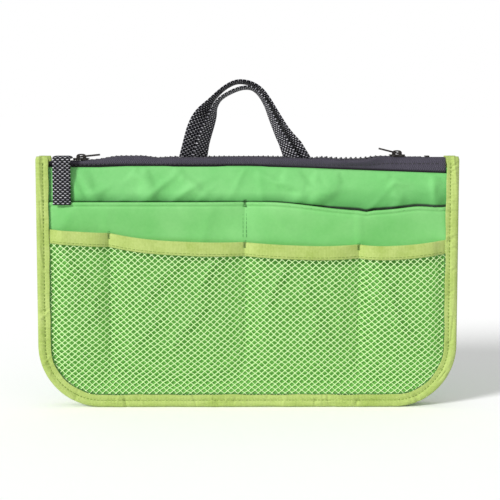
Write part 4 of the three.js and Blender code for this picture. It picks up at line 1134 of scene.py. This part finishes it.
print("the tape is widest at", round(float(tape_lower(np.linspace(-130, 130, 521)).max()), 1), "mm")


# %% Zipper tapes
def zipper_half(label, side):
    """The tape: its section's bends are rounded and carried along x. Its cut width is the mean section's length."""
    x = np.linspace(-TAPE_REACH, TAPE_REACH, 430)
    section = rounded(tape_section(x))
    points = place(x[:, None], section[:, :, 0], section[:, :, 1], side)
    across = np.linspace(0, 16, section.shape[1])
    uv = cloth_map(x[:, None], across[None, :])
    made = mesh_piece(f"{label}_tape_weave", points, grid_quads(*section.shape[:2]), uv, flip=side == BACK)
    thicken(made, TAPE_CLOTH, 0)
    finish_piece(made, "bag", "zipper_tape", zipper_tape, f"{label}_zipper_tape")
    flat = float(np.mean(np.linalg.norm(np.diff(tape_section(x), axis=1), axis=2).sum(axis=1)))


for label, side in SIDES.items():
    zipper_half(label, side)

# %% [markdown]
# ## Teeth
# Each tooth is moulded round the tape's beaded edge, and is narrow at its waist so that the next one locks behind
# it. Copies on a curve would do, but all of them are turned at once here: one small template, times the place and
# the lean of the tape at each pitch. A tooth is repeated about 150 times, so it has only a few dozen faces.

# %% Teeth
PITCH, ROOT, BEAD = 3.5, 1.5, 0.55
CHAIN_END = TAPE_END - 6
TOOTH_COUNT = int(2 * CHAIN_END / PITCH) - 1


def tooth_template():
    """A moulded tooth: rings along its reach, each a rounded box, wide at the root, waisted and with a bulb
    near the tip. A ring is sign(cos) |cos|^0.55, and the same with sin. Returned as (along the zipper, reach,
    thickness)."""
    reach = np.array([0.0, 0.25, 1.1, 1.9, 2.5, 2.85, 2.9]) + 0.3
    width = np.array([1.3, 1.5, 1.15, 1.05, 1.25, 0.9, 0.4])
    thick = np.array([1.3, 1.7, 1.7, 1.7, 1.7, 1.3, 0.7])
    turn = 2 * np.pi * (np.arange(10) + 0.5) / 10
    c, s = (np.sign(wave) * np.abs(wave) ** 0.55 / 2 for wave in (np.cos(turn), np.sin(turn)))
    return np.stack([
        width[:, None] * c + ROOT / 2, np.broadcast_to(reach[:, None], (7, 10)), thick[:, None] * s,
    ], axis=-1)


def teeth(label, side):
    """The template at every pitch, turned to the lean of the tape's edge, half a pitch apart on the two sides,
    and the bead that the teeth grip."""
    template = tooth_template()
    start = -CHAIN_END + (PITCH / 2 if side == BACK else 0) + PITCH * np.arange(TOOTH_COUNT)
    middle_x = start + ROOT / 2
    along = lean_way(tape_leans(middle_x)[1])
    across = np.stack([along[:, 1], -along[:, 0]], axis=1)
    at = tape_section(middle_x)[:, 3][:, None, None] + along[:, None, None] * template[None, ..., 1, None]
    at = at + across[:, None, None] * template[None, ..., 2, None]
    points = place(start[:, None, None] + template[None, ..., 0], at[..., 0], at[..., 1], side)
    rings, sides = template.shape[:2]
    cap = np.array([[0, 1, 2, 9], [9, 2, 3, 8], [8, 3, 4, 7], [7, 4, 5, 6]])
    body = grid_quads(rings, sides, wrap=True)[:, ::-1]
    one_tooth = np.concatenate([body, cap, cap[:, ::-1] + (rings - 1) * sides])
    quads = one_tooth[None] + (np.arange(TOOTH_COUNT) * rings * sides)[:, None, None]
    made = mesh_piece(f"{label}_moulded_teeth", points, quads.reshape(-1, 4), flip=side == BACK)
    x = np.linspace(start[0], start[-1] + ROOT, 400)
    core = tape_section(x)[:, 3] + BEAD * lean_way(tape_leans(x)[1])
    bead = tube_piece(f"{label}_tape_bead", [place(x, core[:, 0], core[:, 1], side)], [BEAD])
    finish_piece(bead, "bag", "zipper_tape", zipper_tape)
    finish_piece(made, "bag", "zipper_teeth", acetal, f"{label}_zipper_teeth")


for label, side in SIDES.items():
    teeth(label, side)

# %% [markdown]
# ## Sliders, pulls and stops
# These are cast in zinc, and the CAD solids already have their real form. They could be modelled again, but it is
# enough to merge the doubled points and to give the edges the small radius that a casting has, which is what
# catches the light.

# %% Sliders, pulls and stops
for name in ("left_slider", "right_slider", "left_pull", "right_pull", "left_end_stop", "right_end_stop"):
    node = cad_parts[name]
    node.data.materials.clear()
    node.data.materials.append(gunmetal)
    modifier(node, "WELD", merge_threshold=0.00001)
    modifier(node, "BEVEL", width=0.00018, segments=2, limit_method="ANGLE", angle_limit=np.radians(35))
print("metal pieces bevelled")

# %% [markdown]
# ## Handles and end tab
# Each handle is one strap of charcoal webbing. Its two ends are sewn flat to the wall inside the mouth, and
# it turns edge-on as it arches over, as stiff webbing does. A curve with a tilt could carry it, but its tilt is
# hard to place. Here the strap's section is carried along its path, and a table gives its twist at each share.


# %% Webbing straps
def smooth_path(points, count):
    """A centripetal Catmull-Rom curve through the points, at places equally far apart."""
    p = np.asarray(points, float)
    p = np.concatenate([[2 * p[0] - p[1]], p, [2 * p[-1] - p[-2]]])
    t = length_along(p, 0.5)
    out = []
    for k in range(1, len(p) - 2):
        s = np.linspace(t[k], t[k + 1], 24, endpoint=False)[:, None]

        def mix(a, b, start, end):
            """a at start, b at end and a straight change between."""
            return (end - s) / (end - start) * a + (s - start) / (end - start) * b

        first, second, third = (mix(p[i], p[i + 1], t[i], t[i + 1]) for i in (k - 1, k, k + 1))
        before, after = mix(first, second, t[k - 1], t[k + 1]), mix(second, third, t[k], t[k + 2])
        out.append(mix(before, after, t[k], t[k + 1]))
    line = np.concatenate([*out, p[-2:-1]])
    so_far = length_along(line)
    even = np.linspace(0, so_far[-1], count)
    return np.stack([np.interp(even, so_far, column) for column in line.T], axis=1), so_far[-1]


def smooth_over(values, reach):
    """Mean over the neighbours to both sides, with the ends held."""
    padded = np.pad(values, reach, mode="edge")
    return np.convolve(padded, np.ones(2 * reach + 1) / (2 * reach + 1), mode="valid")


def strap_profile():
    """A flat section with rounded selvedges, as (across, through) points whose halves face each other."""
    v = np.linspace(-1, 1, 14)
    half = WEBBING_THICKNESS / 2 * np.clip(1 - np.abs(v) ** 10, 0.25, 1)
    top = np.stack([v * WEBBING_WIDTH / 2, half], axis=1)
    return np.concatenate([top, top[::-1] * [1, -1]])


def strap(name, path, wide, thin):
    """Carries the flat section along a path, between its wide and thin directions."""
    profile = strap_profile()
    points = path[:, None] + wide[:, None] * profile[None, :, 0, None] + thin[:, None] * profile[None, :, 1, None]
    uv = cloth_map(length_along(path)[:, None], profile[None, :, 0])
    return mesh_piece(name, points, channel_quads(*uv.shape[:2]), uv)


print("points round a strap:", len(strap_profile()))

# %% Handles
FOLD, SEWN_BOTTOM = 187.85, 150.0
BLEND_FROM, BLEND_TO = FOLD - 4, FOLD + 13
ARCHES = {
    "front": (-2.6, 58.6, 40.2, [
        [-1, 0], [-0.89, 0.26], [-0.77, 0.49], [-0.7, 0.67], [-0.58, 0.8], [-0.33, 0.92], [-0.02, 1],
        [0.2, 0.99], [0.37, 0.9], [0.54, 0.71], [0.68, 0.475], [0.85, 0.2], [1, 0],
    ]),
    "back": (-2.95, 74.9, 44.5, [
        [-1, 0], [-0.92, 0.24], [-0.82, 0.445], [-0.69, 0.62], [-0.5, 0.8], [-0.29, 0.94], [-0.1, 1],
        [0.13, 0.975], [0.32, 0.88], [0.47, 0.72], [0.6, 0.53], [0.78, 0.27], [1, 0],
    ]),
}
LEFT_LEAN, RIGHT_LEAN = np.radians(14), np.radians(26)
TWISTS = {
    "front": [(-0.25, 0), (-0.1, 30), (0, 47), (0.12, 50), (0.2, 62), (0.27, 75), (0.34, 80), (0.62, 79), (0.72, 76),
              (0.815, 69), (0.88, 66), (0.97, 57), (1.0, 55), (1.1, 35), (1.25, 0)],
    "back": [(-0.25, 0), (-0.1, 12), (0, 18), (0.12, 20), (0.18, 36), (0.23, 55), (0.27, 70), (0.33, 76), (0.4, 78),
             (0.72, 74), (0.832, 68), (0.895, 66), (0.93, 62), (0.965, 56), (1.0, 50), (1.05, 40), (1.1, 30),
             (1.25, 0)],
}
SEWN_LEVEL = LINING - 0.15 - WEBBING_THICKNESS / 2
LEVELS = {
    "front": [(-0.25, SEWN_LEVEL), (-0.12, 0.5), (0, 0.35), (1, 0.35), (1.12, 0.5), (1.25, SEWN_LEVEL)],
    "back": [(-0.25, SEWN_LEVEL), (-0.12, 5.3), (-0.03, 5.3), (0.12, 1.6), (1, 0.6), (1.12, 0.6), (1.25, SEWN_LEVEL)],
}


def handle(label, side):
    """One strap: two legs sewn in the mouth and the arch between them. The twist and the level along it are
    smoothed tables, over a share that is 0 at the left fold and 1 at the right one. Its wide direction is
    in_plane cos(twist) + across sin(twist)."""
    centre, span, rise, shares = ARCHES[label]
    shares = np.array(shares)
    arch = np.stack([centre + shares[:, 0] * span / 2, FOLD + 0.15 + shares[:, 1] * rise], axis=1)
    loop, loop_length = smooth_path(arch, 150)
    leg = np.linspace(SEWN_BOTTOM, FOLD, 30)[:-1]
    left = np.stack([arch[0, 0] - (FOLD - leg) * np.tan(LEFT_LEAN), leg], axis=1)
    right = np.stack([arch[-1, 0] + (FOLD - leg) * np.tan(RIGHT_LEAN), leg], axis=1)[::-1]
    line = np.concatenate([left, loop, right])
    share = np.concatenate([(leg - FOLD) / 100, np.linspace(0, 1, len(loop)), 1 + (FOLD - leg[::-1]) / 100])
    twist = np.radians(smooth_over(np.interp(share, *np.array(TWISTS[label]).T), 5))[:, None]
    level = smooth_over(np.interp(share, *np.array(LEVELS[label]).T), 7)
    way = np.gradient(line, axis=0)
    way /= np.linalg.norm(way, axis=1, keepdims=True)
    in_plane = np.stack([way[:, 1], 0 * share, -way[:, 0]], axis=1)
    across = np.broadcast_to([0.0, 1.0, 0.0], in_plane.shape)
    wide = in_plane * np.cos(twist) + across * np.sin(twist)
    thin = across * np.cos(twist) - in_plane * np.sin(twist)
    made = strap(f"{label}_handle_strap", place(line[:, 0], level, line[:, 1], side), wide, thin)
    made.data.flip_normals()
    parts = [f"{label}_handle{part}" for part in ("", "_left_end", "_right_end")]
    finish_piece(made, None, "webbing", webbing, *parts)
    low, high = ((0, MIDDLE * MM, height * MM) for height in (BLEND_FROM, BLEND_TO))
    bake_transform(made)
    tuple(low)
    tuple(high)
    print(f"{label} strap: {loop_length:.0f} mm of arch")


for label, side in SIDES.items():
    handle(label, side)

# %% End tab
# The tab lies this far over the closed chain: half the tape, a gap, the end stop and another gap.
TAB_OVER_CHAIN = 0.25 + 0.3 + 0.8 + 0.3 + WEBBING_THICKNESS / 2
TAB_X, TAB_BOTTOM, TAB_REACH, TAB_BEND, TAB_BACK = -130.95, 146.0, 13.2, 3.6, 3.45
tab_height = float(tape_section(np.array([-TAPE_END]))[0, 3, 1]) + TAB_OVER_CHAIN
tab_turn = np.linspace(0, np.pi / 2, 14)
tab_line = np.concatenate([
    np.stack([np.linspace(TAB_BACK, -TAB_BACK, 16), tab_height + WEBBING_THICKNESS * np.linspace(0, 1, 16)], axis=1),
    np.stack([
        -TAB_REACH + TAB_BEND - TAB_BEND * np.sin(tab_turn),
        tab_height + WEBBING_THICKNESS - TAB_BEND + TAB_BEND * np.cos(tab_turn),
    ], axis=1),
    np.stack([np.full(30, -TAB_REACH), np.linspace(tab_height - TAB_BEND, TAB_BOTTOM, 31)[1:]], axis=1),
])
tab_way = np.gradient(tab_line, axis=0)
tab_way /= np.linalg.norm(tab_way, axis=1, keepdims=True)
tab_path = np.stack([np.full(len(tab_line), TAB_X), MIDDLE + tab_line[:, 0], tab_line[:, 1]], axis=1)
tab_wide = np.broadcast_to([1.0, 0.0, 0.0], tab_path.shape)
tab_thin = np.stack([0 * tab_way[:, 0], -tab_way[:, 1], tab_way[:, 0]], axis=1)
tab = strap("zipper_end_webbing", tab_path, tab_wide, tab_thin)
finish_piece(tab, "end_tab", "webbing", webbing, "zipper_end_tab")

# %% [markdown]
# ## Stitching
# Lockstitches show as short raised dashes with a dimple between. Each is a small closed tube that dips at
# both ends, laid along a seam on the surface that it holds down. A line of paint in a material would be quicker,
# but thread that stands up catches the light and makes its own small shadow.


# %% Stitches
def stitch_paths(line, side, pitch=3.0, length=2.3):
    """Cuts a line into dashes of one pitch. Each dash is five points that arch outwards: 0.12 (1 - t^2) over the
    cloth, less 0.1 at which its ends dip into it."""
    so_far = length_along(line)
    count = max(int(so_far[-1] / pitch), 1)
    starts = (so_far[-1] - count * pitch) / 2 + pitch * np.arange(count) + (pitch - length) / 2
    share = np.linspace(0, 1, 5)
    at = starts[:, None] + length * share[None, :]
    points = np.stack([np.interp(at, so_far, column) for column in line.T], axis=-1)
    points[..., 1] += side * (0.12 * (1 - (2 * share - 1) ** 2) - 0.1)
    return list(points)


def stitches(name, lines, material, slot, side, radius=0.2, **sizes):
    """All the dashes of several lines as one piece."""
    paths = [path for line in lines for path in stitch_paths(line, side, **sizes)]
    finish_piece(tube_piece(name, paths, [radius] * len(paths)), "bag", slot, material)


for label, side in SIDES.items():
    stations, _ = outline_path(BINDING_TOP - 3, 70, 40, 110)
    sewn_at = np.array([BINDING_LEVEL[side] - 0.35])
    line = along_outline(stations, stitch_distance(stations[:, :1]), sewn_at, side)[:, 0]
    stitches(
        f"{label}_binding_stitches", [line], sewing_thread, "lime_tape", side, radius=0.26, pitch=STITCH_PITCH,
        length=1.7,
    )

tape_x = np.linspace(-TAPE_END, TAPE_END, 300)
tape_seam = tape_section(tape_x)
tape_line = tape_seam[:, 1] + (RISE + 0.2) / (TAPE_LOWER + RISE) * (tape_seam[:, 2] - tape_seam[:, 1])
tape_line = place(tape_x, tape_line[:, 0] + 0.42, tape_line[:, 1], FRONT)
stitches("tape_stitches", [tape_line], tape_thread, "zipper_tape", FRONT, radius=0.3, pitch=3.2, length=1.7)
# Painted shadow: a row of short dark green thread dashes along the binding's inner edge stands for the shade of the
# net's cut edge there.
stations, _ = outline_path(112.0, 70, 40, 110)
net_line = along_outline(stations, np.full((len(stations), 1), TAPE_WIDTH + 0.5), np.array([NET + 1.0]), FRONT)[:, 0]
stitches("net_edge_shade_dashes", [net_line], edge_thread, "nylon", FRONT, radius=0.3, pitch=2.4, length=1.5)


def pocket_lines(side, seam_bottom):
    """The slip pocket's rows: one a little below the hem on each side of the middle seam, and two down it."""
    seam, rows = MIDDLE_SEAM[side], []
    for start, end in ((1 - SEAM_EDGE, seam - 2.5), (seam + 2.5, SEAM_EDGE - 1)):
        x = np.linspace(start, end, 160)
        z = hem_height(x, side) - 1.9
        rows.append(place(x, slip_level(x, z, side) + 0.62, z, side))
    down = np.linspace(HEM[side] - 1, seam_bottom, 60)
    return rows + [place(seam + beside, SLIP + 0.5, down, side) for beside in (-1.2, 1.2)]


stitches("slip_pocket_stitches", pocket_lines(FRONT, 122), green_thread, "nylon", FRONT, radius=0.17)
stitches("back_pocket_stitches", pocket_lines(BACK, 14), green_thread, "nylon", BACK, radius=0.17)


# %% Bartacks
def bartack(x, z, level, width=2.4, height=5.0, turns=7):
    """A dense zigzag that ties a seam's end: x swings from side to side while z climbs."""
    step = np.linspace(0, 1, 2 * turns + 1)
    swing = width / 2 * (1 - 2 * (np.arange(2 * turns + 1) % 2))
    return place(x + swing, level, z + height * (step - 0.5), FRONT)


tacks = [bartack(x, band_top(x) - 1.5, NET + NET_THICKNESS + 1.7) for x in SEAMS[1:4]]
tacks.insert(2, bartack(DIVIDER, HEM[FRONT] - 1.0, SLIP + 1.1))
finish_piece(tube_piece("bartacks", tacks, [0.22] * len(tacks)), "bag", "nylon", edge_thread)
x = np.linspace(1.5 - SEAM_EDGE, SEAM_EDGE - 1.5, 500)
band_level = net_level(x, band_top(x) - BAND_WIDTH / 2) + NET_THICKNESS + BAND_SLACK + band_ripple(x)
band_line = place(x, band_level, band_top(x) - (BAND_WIDTH - 1.6), FRONT)
stitches("band_stitches", [band_line], sewing_thread, "lime_tape", FRONT)
